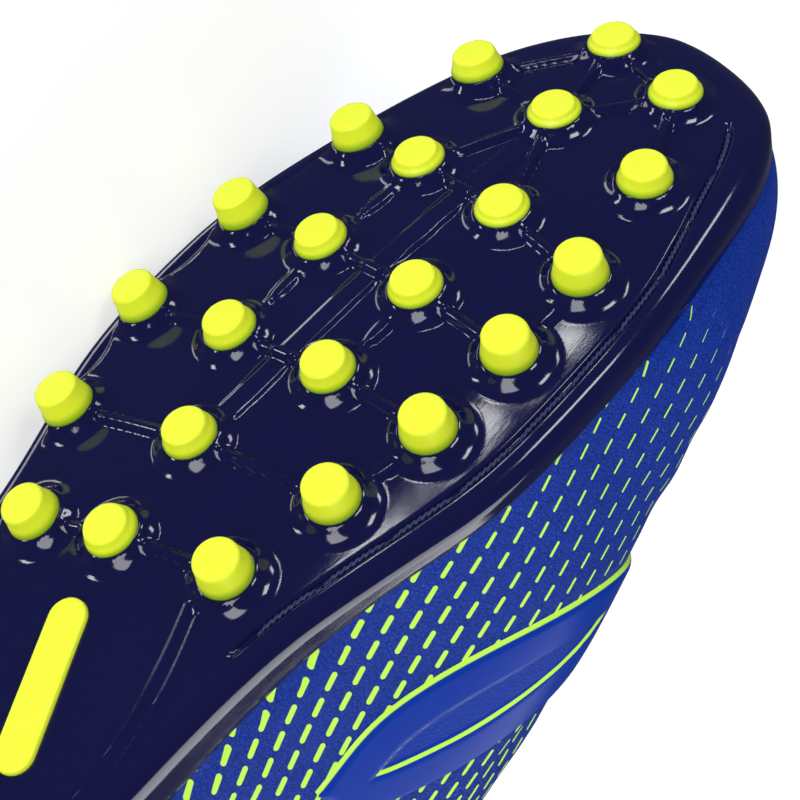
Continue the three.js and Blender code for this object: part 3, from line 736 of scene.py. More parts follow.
class Paint:
    """A Principled material that is written as expressions."""

    def __init__(self, name: str, **constants: "float | Sequence[float]") -> None:
        """Starts a material with constants on its shader.

        Args:
            name: the material's name.
            **constants: the shader's inputs, with underscores for spaces.
        """
        self.material = bpy.data.materials.new(name)
        self.material.use_nodes = True
        self.tree = self.material.node_tree
        self.shader = next(n for n in self.tree.nodes if n.type == "BSDF_PRINCIPLED")
        for key, value in constants.items():
            self.shader.inputs[key.replace("_", " ")].default_value = value

    def node(self, kind: str, settings: dict, *inputs: "Value", output: int = 0, **named: "Value") -> Sock:
        """Adds a node.

        Args:
            kind: the node's type.
            settings: its properties.
            inputs: its inputs in order, sockets or constants, None to skip one.
            output: which output to return.
            named: inputs by name, with underscores for spaces.

        Returns:
            The output.
        """
        made = self.tree.nodes.new(kind)
        for key, value in settings.items():
            setattr(made, key, value)
        pairs = [(made.inputs[k], value) for k, value in enumerate(inputs) if value is not None]
        pairs += [(made.inputs[key.replace("_", " ")], value) for key, value in named.items()]
        for target, value in pairs:
            self.join(target, value)
        return Sock(self, made.outputs[output])

    def join(self, target: bpy.types.NodeSocket, value: "Sock | float | Sequence[float]") -> None:
        """Links an output to an input, or sets the input.

        Args:
            target: the input.
            value: an output or a constant.
        """
        if isinstance(value, Sock):
            self.tree.links.new(value.socket, target)
        else:
            target.default_value = value

    def feed(self, name: str, value: Sock) -> None:
        """Feeds one input of the shader."""
        self.join(self.shader.inputs[name], value)

    def place(self, scale: float = 1000.0) -> Sock:
        """The object's own coordinates, in millimetres by default."""
        made = self.tree.nodes.new("ShaderNodeTexCoord")
        return Sock(self, made.outputs["Object"]).scaled(scale)

    def value(self, name: str) -> Sock:
        """A point value of the mesh."""
        return self.node("ShaderNodeAttribute", {"attribute_name": name}, output=2)

    def vector(self, name: str) -> Sock:
        """A point vector of the mesh."""
        return self.node("ShaderNodeAttribute", {"attribute_name": name}, output=1)

    def noise(self, at: Sock, scale: float, detail: float = 2.0, rough: float = 0.5, output: int = 0) -> Sock:
        """Soft noise at a scale per millimetre, output 1 for three of them."""
        named = {"Scale": scale, "Detail": detail, "Roughness": rough}
        return self.node("ShaderNodeTexNoise", {}, at, output=output, **named)

    def cells(self, at: Sock, scale: float, feature: str = "F1") -> Sock:
        """Distance in a cell pattern at a scale per millimetre."""
        return self.node("ShaderNodeTexVoronoi", {"feature": feature}, at, Scale=scale)

    def mix(self, share: Sock, low: "Sock | Sequence[float]", high: "Sock | Sequence[float]") -> Sock:
        """A colour between two.

        Args:
            share: how much of the second.
            low: the first colour.
            high: the second colour.

        Returns:
            The mixed colour.
        """
        made = self.tree.nodes.new("ShaderNodeMix")
        made.data_type = "RGBA"
        self.join(made.inputs[0], share)
        self.join(made.inputs[6], low)
        self.join(made.inputs[7], high)
        return Sock(self, made.outputs[2])

    def bump(self, height: Sock, depth: float, normal: Optional[Sock] = None) -> Sock:
        """A bump of a height in units of depth millimetres.

        Args:
            height: the height.
            depth: what a height of 1 stands for, in millimetres.
            normal: the normal to start from.

        Returns:
            The bumped normal.
        """
        made = self.node("ShaderNodeBump", {}, Strength=1.0, Distance=depth / 1000, Height=height)
        if normal is not None:
            self.join(made.socket.node.inputs["Normal"], normal)
        return made


def tint(red: float, green: float, blue: float) -> tuple[float, float, float, float]:
    """A display colour of 0 to 255 as a linear one."""
    linear = [((c / 255 + 0.055) / 1.055) ** 2.4 if c > 10 else c / 255 / 12.92 for c in (red, green, blue)]
    return (*linear, 1.0)


class Tone(Enum):
    """The shoe's colours."""

    NAVY = tint(14, 15, 60)
    LIME = tint(236, 252, 50)
    DASH = tint(196, 248, 84)
    BLUE = tint(5, 60, 172)
    DEEP_BLUE = tint(4, 50, 154)
    LINING = tint(22, 34, 92)
    LACE = tint(206, 240, 60)


@dataclass(frozen=True)
class PlateFinish:
    """Dark, very glossy moulded plastic with faint flow marks and fine scratches."""

    roughness: float = 0.035
    flow_depth: float = 0.05

    def make(self) -> bpy.types.Material:
        """Makes the material.

        Returns:
            The material.
        """
        paint = Paint("plate", Base_Color=Tone.NAVY.value, IOR=1.47)
        at = paint.place()
        flow = paint.noise(at, 0.09, 2.0)
        fine = paint.noise(at.scaled((0.35, 3.0, 1.4)), 0.9, 4.0, 0.6)
        paint.feed("Roughness", fine * 0.06 + flow * 0.05 + self.roughness)
        paint.feed("Normal", paint.bump(fine, 0.006, paint.bump(flow, self.flow_depth)))
        return paint.material


@dataclass(frozen=True)
class StudFinish:
    """Satin lime plastic with a finely textured tip; its foot is painted darker and greener, as painted shade
    where it meets its collar.
    """

    roughness: float = 0.3

    def make(self) -> bpy.types.Material:
        """Makes the material.

        Returns:
            The material.
        """
        paint = Paint("stud", IOR=1.46, Subsurface_Weight=0.12, Subsurface_Scale=0.002)
        paint.shader.inputs["Subsurface Radius"].default_value = (0.6, 0.8, 0.1)
        height = paint.value("height")
        # Painted shade: the stud's lower part is painted a darker green where it meets its collar.
        foot = height.step(-0.05, 0.42)
        paint.feed("Base Color", paint.mix(foot, tint(120, 168, 10), Tone.LIME.value))
        at = paint.place()
        grain = paint.noise(at, 3.2, 3.0, 0.7)
        paint.feed("Roughness", grain * 0.16 + self.roughness)
        paint.feed("Normal", paint.bump(grain * (height.step(0.7, 1.0) * 0.8 + 0.2), 0.05))
        return paint.material


@dataclass(frozen=True)
class UpperFinish:
    """Blue synthetic leather with pebbled grain and printed dashes, and painted shade in the grain's creases.

    The mesh value "dash" holds, in lattice units, the place along a dash's line, the line's number
    and the printed share of a dash's full width. The value "print" is 0 where nothing is printed.
    """

    stagger: float = 0.527
    half_length: float = 0.255
    half_width: float = 0.108

    def grain(self, paint: Paint) -> Sock:
        """The height of the grain: soft pebbles between fine creases, over broader wrinkles.

        Args:
            paint: the material's painter.

        Returns:
            The height, from 0 to 1.
        """
        at = paint.place()
        bent = at.plus(paint.noise(at, 0.9, 2.0, output=1).plus((-0.5, -0.5, -0.5)).scaled(0.9))
        pebbles = paint.cells(bent, 1.15, "DISTANCE_TO_EDGE").step(0.0, 0.2)
        small = paint.cells(bent.scaled((1.0, 1.3, 1.1)), 2.4, "DISTANCE_TO_EDGE").step(0.0, 0.25)
        broad = paint.cells(bent, 0.45, "DISTANCE_TO_EDGE").step(0.0, 0.08)
        return pebbles * 0.5 + small * 0.38 + broad * 0.12

    def dashes(self, paint: Paint) -> Sock:
        """1 inside a printed dash, else 0.

        Args:
            paint: the material's painter.

        Returns:
            The printed share.
        """
        dash = paint.vector("dash")
        line = dash.part(1).round()
        along = dash.part(0) + line * self.stagger
        offset = abs(along - along.round())
        aside = abs(dash.part(1) - line) * 0.87
        beyond = (offset - self.half_length).over(0.0)
        reach = (beyond * beyond + aside * aside).root()
        width = dash.part(2) * self.half_width
        return (1.0 - (reach - width).step(-0.012, 0.012)) * paint.value("print")

    def make(self) -> bpy.types.Material:
        """Makes the material.

        Returns:
            The material.
        """
        paint = Paint("upper", IOR=1.45, Specular_IOR_Level=0.22)
        at = paint.place()
        cloudy = paint.noise(at, 0.05, 2.0)
        grain = self.grain(paint)
        smooth_blue = paint.mix(cloudy, Tone.BLUE.value, Tone.DEEP_BLUE.value)
        # Painted shade: the grain's creases are painted a darker blue.
        blue = paint.mix(grain.step(0.0, 0.8), tint(4, 31, 116), smooth_blue)
        ink = self.dashes(paint)
        paint.feed("Base Color", paint.mix(ink, blue, Tone.DASH.value))
        paint.feed("Roughness", grain * -0.14 + 0.5 + ink * 0.12)
        relief = grain * (1.0 - ink * 0.85) * (1.0 - paint.value("smooth") * 0.9)
        paint.feed("Normal", paint.bump(relief, 0.16))
        return paint.material


@dataclass(frozen=True)
class PanelFinish:
    """Smooth coated film with a lime line at its border and another inside.

    The mesh value "rim" is the distance from the border in millimetres.
    """

    line: float = 0.14
    band: float = 6.6

    def make(self) -> bpy.types.Material:
        """Makes the material.

        Returns:
            The material.
        """
        paint = Paint("panel", IOR=1.45, Specular_IOR_Level=0.18)
        rim = paint.value("rim")
        border = 1.0 - rim.step(self.line, self.line + 0.12)
        inside = rim.step(self.band, self.band + 0.12) * (1.0 - rim.step(self.band + 0.45, self.band + 0.57))
        lime = border + inside
        at = paint.place()
        grain = paint.cells(at, 1.3, "DISTANCE_TO_EDGE").step(0.0, 0.3)
        core = rim.step(self.band + 0.9, self.band + 1.4)
        paint.feed("Base Color", paint.mix(lime, Tone.DEEP_BLUE.value, Tone.DASH.value))
        paint.feed("Roughness", core * 0.2 + paint.noise(at, 0.5) * 0.1 + 0.27)
        paint.feed("Normal", paint.bump(grain * core * 0.6 + paint.noise(at, 0.3) * 0.25, 0.09))
        return paint.material


@dataclass(frozen=True)
class TrimFinish:
    """Smooth coated overlay in the upper's blue."""

    def make(self) -> bpy.types.Material:
        """Makes the material.

        Returns:
            The material.
        """
        paint = Paint("trim", Base_Color=Tone.DEEP_BLUE.value, IOR=1.45, Specular_IOR_Level=0.4)
        at = paint.place()
        grain = paint.noise(at, 1.6, 3.0, 0.6)
        paint.feed("Roughness", grain * 0.12 + 0.26)
        paint.feed("Normal", paint.bump(grain, 0.03))
        return paint.material


@dataclass(frozen=True)
class TextileFinish:
    """Knitted cloth: rows of small loops."""

    tone: Tone = Tone.LINING
    pitch: float = 1.1

    def make(self) -> bpy.types.Material:
        """Makes the material.

        Returns:
            The material.
        """
        paint = Paint(f"textile_{self.tone.name.lower()}", Sheen_Weight=0.3, Roughness=0.85)
        at = paint.place()
        turn = 2 * math.pi / self.pitch
        rows = (at.part(2) * turn).sine()
        loops = (at.part(0) * turn * 1.3 + rows * 0.9).sine()
        knit = (rows * loops) * 0.5 + 0.5
        shade = tuple(c * 0.55 for c in self.tone.value[:3]) + (1.0,)
        paint.feed("Base Color", paint.mix(knit, shade, self.tone.value))
        paint.feed("Normal", paint.bump(knit + paint.noise(at, 3.0) * 0.4, 0.18))
        return paint.material


@dataclass(frozen=True)
class ThreadFinish:
    """Waxed sewing thread."""

    def make(self) -> bpy.types.Material:
        """Makes the material.

        Returns:
            The material.
        """
        paint = Paint("thread", Roughness=0.5, IOR=1.5)
        at = paint.place()
        fibres = paint.noise(at, 6.0, 2.0)
        paint.feed("Base Color", paint.mix(fibres, tint(8, 9, 30), tint(46, 58, 118)))
        paint.feed("Normal", paint.bump(fibres, 0.05))
        return paint.material


class Finishes:
    """The materials, made once."""

    def __init__(self) -> None:
        """Makes every material."""
        self.plate = PlateFinish().make()
        self.stud = StudFinish().make()
        self.upper = UpperFinish().make()
        self.panel = PanelFinish().make()
        self.trim = TrimFinish().make()
        self.lining = TextileFinish().make()
        self.lace = TextileFinish(Tone.LACE, 0.8).make()
        self.thread = ThreadFinish().make()


@dataclass
class Workshop:
    """What every piece is made with."""

    last: Last
    pose: Pose
    finishes: Finishes


def segment(x: Array, y: Array, start: Array, end: Array) -> tuple[Array, Array]:
    """Distance from a segment in the plan, and the place along it from 0 to 1.

    Args:
        x: places along the shoe.
        y: places across the shoe.
        start: the segment's first point.
        end: its last point.

    Returns:
        The distances and the shares along it.
    """
    run = end - start
    share = ((x - start[0]) * run[0] + (y - start[1]) * run[1]) / (run @ run)
    inside = np.clip(share, 0, 1)
    return np.hypot(x - start[0] - run[0] * inside, y - start[1] - run[1] * inside), share


class Relief:
    """The low forms on the plate's ground face: collars, ribs, scoops and lines."""

    CENTRAL_RIB = ((247.7, 2.2), (166.2, -3.3))
    CENTRAL_HEIGHT = 0.42
    LENS_HALF = 1.7
    LENS_HEIGHT = 0.5
    ARCH_LINE_HALF = 0.55
    ARCH_LINE_HEIGHT = 0.45
    SCOOP_HALF = 2.6
    SCOOP_DEPTH = 0.7
    SCOOP_ASIDE = 5.2
    ARCH_LINES = (
        ((143.0, 16.5), (128.0, 21.5), (112.0, 24.5), (90.0, 25.5)),
        ((140.0, 20.5), (126.0, 25.0), (110.0, 27.5), (90.0, 28.3)),
    )

    def __init__(self, last: Last) -> None:
        """Works out where each stud stands."""
        self.last = last
        self.feet = {name: last.stud_foot(x, y, cone)[0][:2] for name, x, y, cone in STUDS}

    def height(self, x: Array, y: Array) -> Array:
        """How far the forms stand out of the ground face, in millimetres.

        Args:
            x: places along the shoe.
            y: places across the shoe.

        Returns:
            The heights.
        """
        raised = self._ribs(x, y) + self._lines(x, y)
        collars = np.zeros_like(x)
        for foot in self.feet.values():
            collars = np.maximum(collars, self._collar(np.hypot(x - foot[0], y - foot[1])))
        blend = (np.maximum(raised, 0) ** 3 + collars**3) ** (1 / 3)
        return blend - self._scoops(x, y) * (1 - np.clip(collars, 0, 1))

    def _collar(self, distance: Array) -> Array:
        """One stud's collar: a low cone with a flared foot.

        Args:
            distance: distances from the stud's axis.

        Returns:
            The heights.
        """
        s = self.last.sizes
        inner = s.stud_base_radius + 0.35
        t = np.clip((distance - inner) / (s.collar_spread + 0.4), 0, 1)
        return s.collar_height * (1 - t) ** 2.0

    def _ribs(self, x: Array, y: Array) -> Array:
        """Rounded ribs between studs, and tapered ones.

        Args:
            x: places along the shoe.
            y: places across the shoe.

        Returns:
            The heights.
        """
        height = np.zeros_like(x)
        for first, second in RIBS:
            away, share = segment(x, y, self.feet[first], self.feet[second])
            half = 1.25 + 0.35 * (2 * np.clip(share, 0, 1) - 1) ** 2
            rise = np.clip(1.2 - 1.2 * (away / half) ** 2, 0, 1)
            height = np.maximum(height, self.last.sizes.rib_height * rise)
        for first, second in LENS_RIBS:
            away, share = segment(x, y, self.feet[first], self.feet[second])
            half = self.LENS_HALF * np.clip(np.sin(np.clip((share - 0.3) / 0.55, 0, 1) * math.pi), 0.02, 1)
            height = np.maximum(height, self.LENS_HEIGHT * np.clip(1.6 - 1.6 * (away / half) ** 2, 0, 1))
        return height

    def _lines(self, x: Array, y: Array) -> Array:
        """The long central rib's two edges, and the two fine lines along the arch.

        Args:
            x: places along the shoe.
            y: places across the shoe.

        Returns:
            The heights.
        """
        start, end = np.array(self.CENTRAL_RIB)
        away, share = segment(x, y, start, end)
        ends = smoothstep(0, 0.05, share) * (1 - smoothstep(0.95, 1, share))
        height = self.CENTRAL_HEIGHT * (1 - smoothstep(2.1, 2.7, away)) * ends
        for line in self.ARCH_LINES:
            path = spline(np.array(line), np.linspace(0, 1, 13))
            away = np.min([segment(x, y, a, b)[0] for a, b in zip(path[:-1], path[1:])], axis=0)
            height = height + self.ARCH_LINE_HEIGHT * np.exp(-((away / self.ARCH_LINE_HALF) ** 2))
        return height

    def _scoops(self, x: Array, y: Array) -> Array:
        """Shallow lens-shaped recesses between the outer edge's studs.

        Args:
            x: places along the shoe.
            y: places across the shoe.

        Returns:
            The depths.
        """
        depth = np.zeros_like(x)
        for first, second in EDGE_SCOOPS:
            start, end = self.feet[first], self.feet[second]
            run = (end - start) / np.linalg.norm(end - start)
            aside = np.array([run[1], -run[0]]) * self.SCOOP_ASIDE
            aside *= -np.sign(aside[1])
            away, share = segment(x, y, start + aside + run * 4, end + aside - run * 4)
            half = self.SCOOP_HALF * np.clip(np.sin(np.clip(share, 0, 1) * math.pi), 0.02, 1)
            depth = np.maximum(depth, self.SCOOP_DEPTH * np.clip(1 - (away / half) ** 2, 0, 1))
        return depth


@dataclass
class Outsole:
    """The glossy stud plate: ground face with its relief, edge, side wall, rim and floor."""

    shop: Workshop
    steps: int = 520
    across: int = 118
    behind: float = 0.27

    # Rows of (inset from the edge, rise over the ground face) round the plate's bottom edge.
    ROUNDING = (
        (3.0, 0.0), (2.3, 0.03), (1.7, 0.14), (1.15, 0.4), (0.7, 0.8), (0.35, 1.3), (0.12, 1.9), (0.0, 2.7),
    )
    BAND_INSETS = (8.0, 7.4, 6.7, 6.1, 5.6, 5.2, 5.0, 4.8, 4.4, 4.0, 3.8, 3.6, 3.3)

    def build(self) -> bpy.types.Object:
        """Builds the plate.

        Returns:
            The object, linked and smooth.
        """
        last, sizes = self.shop.last, self.shop.last.sizes
        t = last.stations(self.steps, self.behind)
        edge = last.edge(t)
        relief = Relief(last)
        made = Surface("outsole_plate")
        band = [self._band_ring(edge, relief, inset) for inset in self.BAND_INSETS]
        rounding = [self._ring(edge, inset, rise) for inset, rise in self.ROUNDING]
        made.grid(np.stack(band + rounding, 1), wrap=True)
        made.grid(self._side(edge, rounding[-1]), wrap=True)
        made.grid(self._inside(band[0], relief))
        floor = self._ring(edge, (sizes.rim_thickness + 0.4) / last.spread(edge), sizes.plate_thickness)
        middle = self._ring(edge, 10.0, sizes.plate_thickness)
        made.grid(np.stack([floor, middle], 1), wrap=True)
        made.grid(self._cross(middle, 4, lambda x, y: np.full_like(x, -sizes.plate_thickness)))
        outsole = made.build(self.shop.pose, [self.shop.finishes.plate])
        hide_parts("outsole")
        return outsole

    def _ring(self, edge: Edge, inset: Array, rise: Array) -> Array:
        """A ring at an inset from the edge, at a rise over the ground face.

        Args:
            edge: C stations around the plate's edge.
            inset: how far in from the edge.
            rise: how far over the ground face.

        Returns:
            (C, 3) points.
        """
        reach = np.broadcast_to(inset, len(edge.at)) * self.shop.last.spread(edge)
        plan = edge.at - edge.out * reach[:, None]
        z = self.shop.last.ground(plan[:, 0], plan[:, 1]) + rise
        return np.column_stack([plan, z])

    def _band_ring(self, edge: Edge, relief: Relief, inset: float) -> Array:
        """A ring of the ground face near the edge, with the relief and the stitch channel.

        Args:
            edge: C stations around the plate's edge.
            relief: the forms on the ground face.
            inset: how far in from the edge.

        Returns:
            (C, 3) points.
        """
        plan = edge.at - edge.out * (inset * self.shop.last.spread(edge))[:, None]
        height = relief.height(plan[:, 0], plan[:, 1]) * smoothstep(3.4, 5.2, np.full(len(plan), inset))
        return self.shop.last.on_ground(plan, height - StitchLine.depth(self.shop.last, edge, inset))

    def _side(self, edge: Edge, foot: Array) -> Array:
        """The side wall from the bottom edge up, over the rim and down to the floor.

        Args:
            edge: C stations around the plate's edge.
            foot: (C, 3) points where the rounding ends.

        Returns:
            (C, R, 3) points.
        """
        last, sizes = self.shop.last, self.shop.last.sizes
        top, lean = last.wall_top(edge.share), last.lean(edge.share)
        rows = [foot]
        for share in (0.3, 0.6, 0.85):
            rows.append(self._ring(edge, lean * share / last.spread(edge), 2.7 + (top - 3.3) * share))
        rim = sizes.rim_thickness * 0.7
        for angle in np.linspace(0, math.pi, 7):
            inset = (lean + rim * (1 - math.cos(angle)) / 2) / last.spread(edge)
            rows.append(self._ring(edge, inset, top - 0.5 + 0.5 * math.sin(angle)))
        rows.append(self._ring(edge, (sizes.rim_thickness + 0.4) / last.spread(edge), sizes.plate_thickness))
        return np.stack(rows, 1)

    def _cross(self, ring: Array, cells: int, height: Callable[[Array, Array], Array]) -> Array:
        """A grid from the inner side of a ring across to its outer side.

        Args:
            ring: (C, 3) points round the edge.
            cells: how many cells reach across.
            height: the height at plan places.

        Returns:
            (C / 2 + 1, cells + 1, 3) points.
        """
        half = len(ring) // 2
        inner = ring[: half + 1, :2]
        outer = ring[-np.arange(half + 1) % len(ring), :2]
        share = np.linspace(0, 1, cells + 1)[None, :, None]
        plan = inner[:, None] + (outer - inner)[:, None] * share
        return self.shop.last.on_ground(plan, height(plan[..., 0], plan[..., 1]))

    def _inside(self, ring: Array, relief: Relief) -> Array:
        """The ground face inside the band. Its first and last columns are the band's own points.

        Args:
            ring: (C, 3) points of the band's inner border.
            relief: the forms on the ground face.

        Returns:
            The grid's points.
        """
        half = len(ring) // 2
        grid = self._cross(ring, self.across, relief.height)
        plan_edge = np.stack([ring[: half + 1], ring[-np.arange(half + 1) % len(ring)]], 1)
        grid[:, 0], grid[:, -1] = plan_edge[:, 0], plan_edge[:, 1]
        return grid


@dataclass
class StitchLine:
    """The sunk channel along the plate's inner edge, and the twisted thread in it."""

    shop: Workshop
    STITCH = 13.6
    THREAD = 0.4
    TWIST_PITCH = 2.5
    ENDS = (0.468, 0.955)
    THREAD_ENDS = (0.487, 0.952)

    @staticmethod
    def depth(last: Last, edge: Edge, inset: float) -> Array:
        """How deep the channel is at an inset.

        Args:
            last: the last that the shoe is built on.
            edge: C stations around the plate's edge.
            inset: how far in from the edge.

        Returns:
            (C,) depths.
        """
        s = last.sizes
        first, final = StitchLine.ENDS
        begun = smoothstep(first, first + 0.008, edge.share)
        side = edge.inner * begun * (1 - smoothstep(final, final + 0.01, edge.share))
        away = abs(inset - s.stitch_inset) * last.spread(edge)
        return s.stitch_depth * (1 - smoothstep(s.stitch_width * 0.32, s.stitch_width * 0.56, away)) * side

    def build(self) -> bpy.types.Object:
        """Builds the thread: a two-lobed section, twisted as it goes, dipping at each stitch hole.

        Returns:
            The object, linked and smooth.
        """
        last, s = self.shop.last, self.shop.last.sizes
        t = last.stations(2000)[:2001]
        edge = last.edge(t)
        shown = edge.inner & (edge.share > self.THREAD_ENDS[0]) & (edge.share < self.THREAD_ENDS[1])
        plan = (edge.at - edge.out * (s.stitch_inset * last.spread(edge))[:, None])[shown]
        run = np.concatenate([[0], np.cumsum(np.linalg.norm(np.diff(plan, axis=0), axis=1))])
        count = int(run[-1] / 0.2)
        even = np.linspace(0, run[-1], count)
        plan = np.stack([np.interp(even, run, plan[:, k]) for k in (0, 1)], 1)
        dip = np.abs(np.cos(math.pi * even / self.STITCH)) ** 14
        path = last.on_ground(plan, -s.stitch_depth + 0.42 - dip * 0.9)
        along = np.gradient(path, axis=0)
        along /= np.linalg.norm(along, axis=1)[:, None]
        side = np.cross(along, last.ground_out(plan[:, 0], plan[:, 1]))
        side /= np.linalg.norm(side, axis=1)[:, None]
        up = np.cross(side, along)
        angles = np.linspace(0, 2 * math.pi, 13)[None, :]
        twist = (even * 2 * math.pi / self.TWIST_PITCH)[:, None]
        radius = self.THREAD * (1 + 0.3 * np.cos(2 * (angles - twist)))
        points = path[:, None] + side[:, None] * (radius * np.cos(angles))[..., None]
        points = points + up[:, None] * (radius * np.sin(angles))[..., None]
        made = Surface("sole_thread")
        made.grid(points)
        return made.build(self.shop.pose, [self.shop.finishes.thread])


@dataclass
class Studs:
    """The lime studs: truncated cones with a rounded tip edge."""

    shop: Workshop
    sides: int = 36

    def build(self) -> list[bpy.types.Object]:
        """Builds every stud."""
        return [self._stud(*row) for row in STUDS]

    def _stud(self, name: str, x: float, y: float, cone: float) -> bpy.types.Object:
        """Builds one stud on its own axis.

        Args:
            name: the stud's name.
            x: the tip's place along the shoe.
            y: the tip's place across it.
            cone: the height of the stud's coloured cone.

        Returns:
            The object, linked and smooth.
        """
        s = self.shop.last.sizes
        foot, out = self.shop.last.stud_foot(x, y, cone)
        rows = self._profile(cone)
        across = np.cross(out, [1.0, 0.0, 0.0])
        across /= np.linalg.norm(across)
        other = np.cross(out, across)
        angles = np.arange(self.sides) * 2 * math.pi / self.sides
        ring = np.cos(angles)[:, None] * across + np.sin(angles)[:, None] * other
        points = foot + ring[:, None] * rows[None, :, :1] + out * rows[None, :, 1:]
        share = (rows[:, 1] - s.collar_height) / cone
        made = Surface(f"stud_cap_{name}")
        made.grid(points, wrap=True, values={"height": np.broadcast_to(share, points.shape[:2])})
        stud = made.build(self.shop.pose, [self.shop.finishes.stud])
        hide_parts(f"stud_{name}")
        return stud

    def _profile(self, cone: float) -> Array:
        """Rows of (radius, height over the ground face) from the foot over the tip.

        Args:
            cone: the height of the stud's coloured cone.

        Returns:
            (R, 2) rows.
        """
        s = self.shop.last.sizes
        base, top = s.collar_height - 0.1, s.collar_height + cone
        radius, edge = s.stud_tip_radius, s.stud_rounding
        rows = [(0.0, base), (s.stud_base_radius + 0.1, base), (s.stud_base_radius + 0.05, base + 0.35)]
        rows += [(s.stud_base_radius - (s.stud_base_radius - radius) * 0.6, base + cone * 0.45)]
        for angle in np.linspace(0, QUARTER, 6):
            rows.append((radius - edge + edge * math.cos(angle), top - edge + edge * math.sin(angle)))
        return np.array(rows + [(radius * 0.45, top + 0.04), (0.0, top + 0.05)])


class Openings:
    """Where the upper is cut: its collar's top line and its throat, as signed distances."""

    def __init__(self, last: Last) -> None:
        """Works out the collar's top line and the throat's ends.

        Args:
            last: the last that the shoe is built on.
        """
        s = last.sizes
        self.last = last
        self.throat_back = 0.40 * s.sole_length
        self.throat_front = 0.70 * s.sole_length
        top = [
            (-20.0, s.heel_height + 2),
            (8.0, s.heel_height),
            (0.13 * s.sole_length, s.ankle_dip + 5),
            (0.22 * s.sole_length, s.ankle_dip),
            (0.32 * s.sole_length, s.ankle_dip + 12),
            (self.throat_back, s.instep_height + 6),
            (0.44 * s.sole_length, s.instep_height + 30),
        ]
        self._top = spline(np.array(top), np.linspace(0, 1, 61))

    def below_collar(self, points: Array, lift: float = 0.0) -> Array:
        """Positive below the collar's top line.

        Args:
            points: (..., 3) points in the shoe's frame.
            lift: how far the line is raised.

        Returns:
            The signed distances.
        """
        line = np.interp(points[..., 0], self._top[:, 0], self._top[:, 1])
        gap = line + lift - points[..., 2]
        return np.where(points[..., 0] > self._top[-1, 0], 90.0, gap)

    def crest(self, x: Array) -> Array:
        """The throat's middle line."""
        s = self.last.sizes
        return self.last.crest_y(np.clip(x / s.sole_length, *self.last.crest_ends)) * s.ball_width

    def half(self, x: Array) -> Array:
        """The throat's half width, before its rounded front end.

        Args:
            x: places along the shoe.

        Returns:
            The half widths.
        """
        s = self.last.sizes
        start, end = self.throat_back - 25, self.throat_front - s.throat_half_width * 0.6
        return s.throat_half_width * np.interp(x, [start, end], [1.35, 0.75])

    def beside_throat(self, points: Array, spread: float = 0.0) -> Array:
        """Positive outside the throat, or outside a band round it.

        Args:
            points: (..., 3) points in the shoe's frame.
            spread: how far the band reaches beyond the throat.

        Returns:
            The signed distances.
        """
        x = points[..., 0]
        front = self.throat_front + spread
        half = self.half(x) + spread
        start = front - half
        beyond = np.clip((x - start) / (front - start), 0, 1.2)
        width = half * np.sqrt(np.clip(1 - beyond**2, 0, 1))
        aside = np.abs(points[..., 1] - self.crest(x))
        return np.where((x > front) | (x < self.throat_back - 25), 20.0, aside - width)


FINE_TURNS = np.linspace(0, QUARTER, 241)


def crossing(values: Array, turns: Array, rising: bool = False) -> tuple[Array, Array]:
    """Where each column's value first falls below 0, or first rises above it.

    Args:
        values: (C, T) values at the turns.
        turns: the T turns.
        rising: whether to look for a rise.

    Returns:
        The turn for each column, the last one where there is no crossing, and whether there is one.
    """
    hit = values > 0 if rising else values < 0
    found = hit.any(1)
    k = np.clip(np.argmax(hit, 1), 1, len(turns) - 1)
    rows = np.arange(len(values))
    before, after = values[rows, k - 1], values[rows, k]
    share = np.clip(before / np.where(before == after, 1e-9, before - after), 0, 1)
    turn = turns[k - 1] + (turns[k] - turns[k - 1]) * share
    return np.where(found, turn, turns[-1]), found


DASH_WIDTHS = profile(((130, 1.05), (160, 0.95), (180, 0.66), (200, 0.42), (226, 0.28), (239, 0.02)))


def crossing_down(values: Array, turns: Array, high: Array) -> tuple[Array, Array]:
    """Where each column's value, followed down from a turn, first falls below 0."""
    seen = np.where(turns[None, :] < high[:, None], values, 1.0)
    return crossing(seen[:, ::-1], turns[::-1])


def dash_lattice(points: Array) -> Array:
    """Lattice places of the printed dashes at points of the upper, (..., 3).

    The dashes stand 5 mm apart along their line, the lines 4.4 mm apart. Both fan a little towards
    the toe, so each place is a low polynomial of the side view's x and z.

    Args:
        points: (..., 3) points in the shoe's frame.

    Returns:
        (..., 3) places along, lines, and shares of the full width.
    """
    u, w = (points[..., 0] - 190) / 50, (points[..., 2] - 35) / 20
    along = -4.68 + 1.64 * w - 9.11 * u - 0.11 * u**2
    line = 4.44 + 4.67 * w + 0.4 * w**2 + 4.56 * u + 0.23 * u * w - 1.0 * u**2
    return np.stack([along, line, DASH_WIDTHS(points[..., 0])], -1)


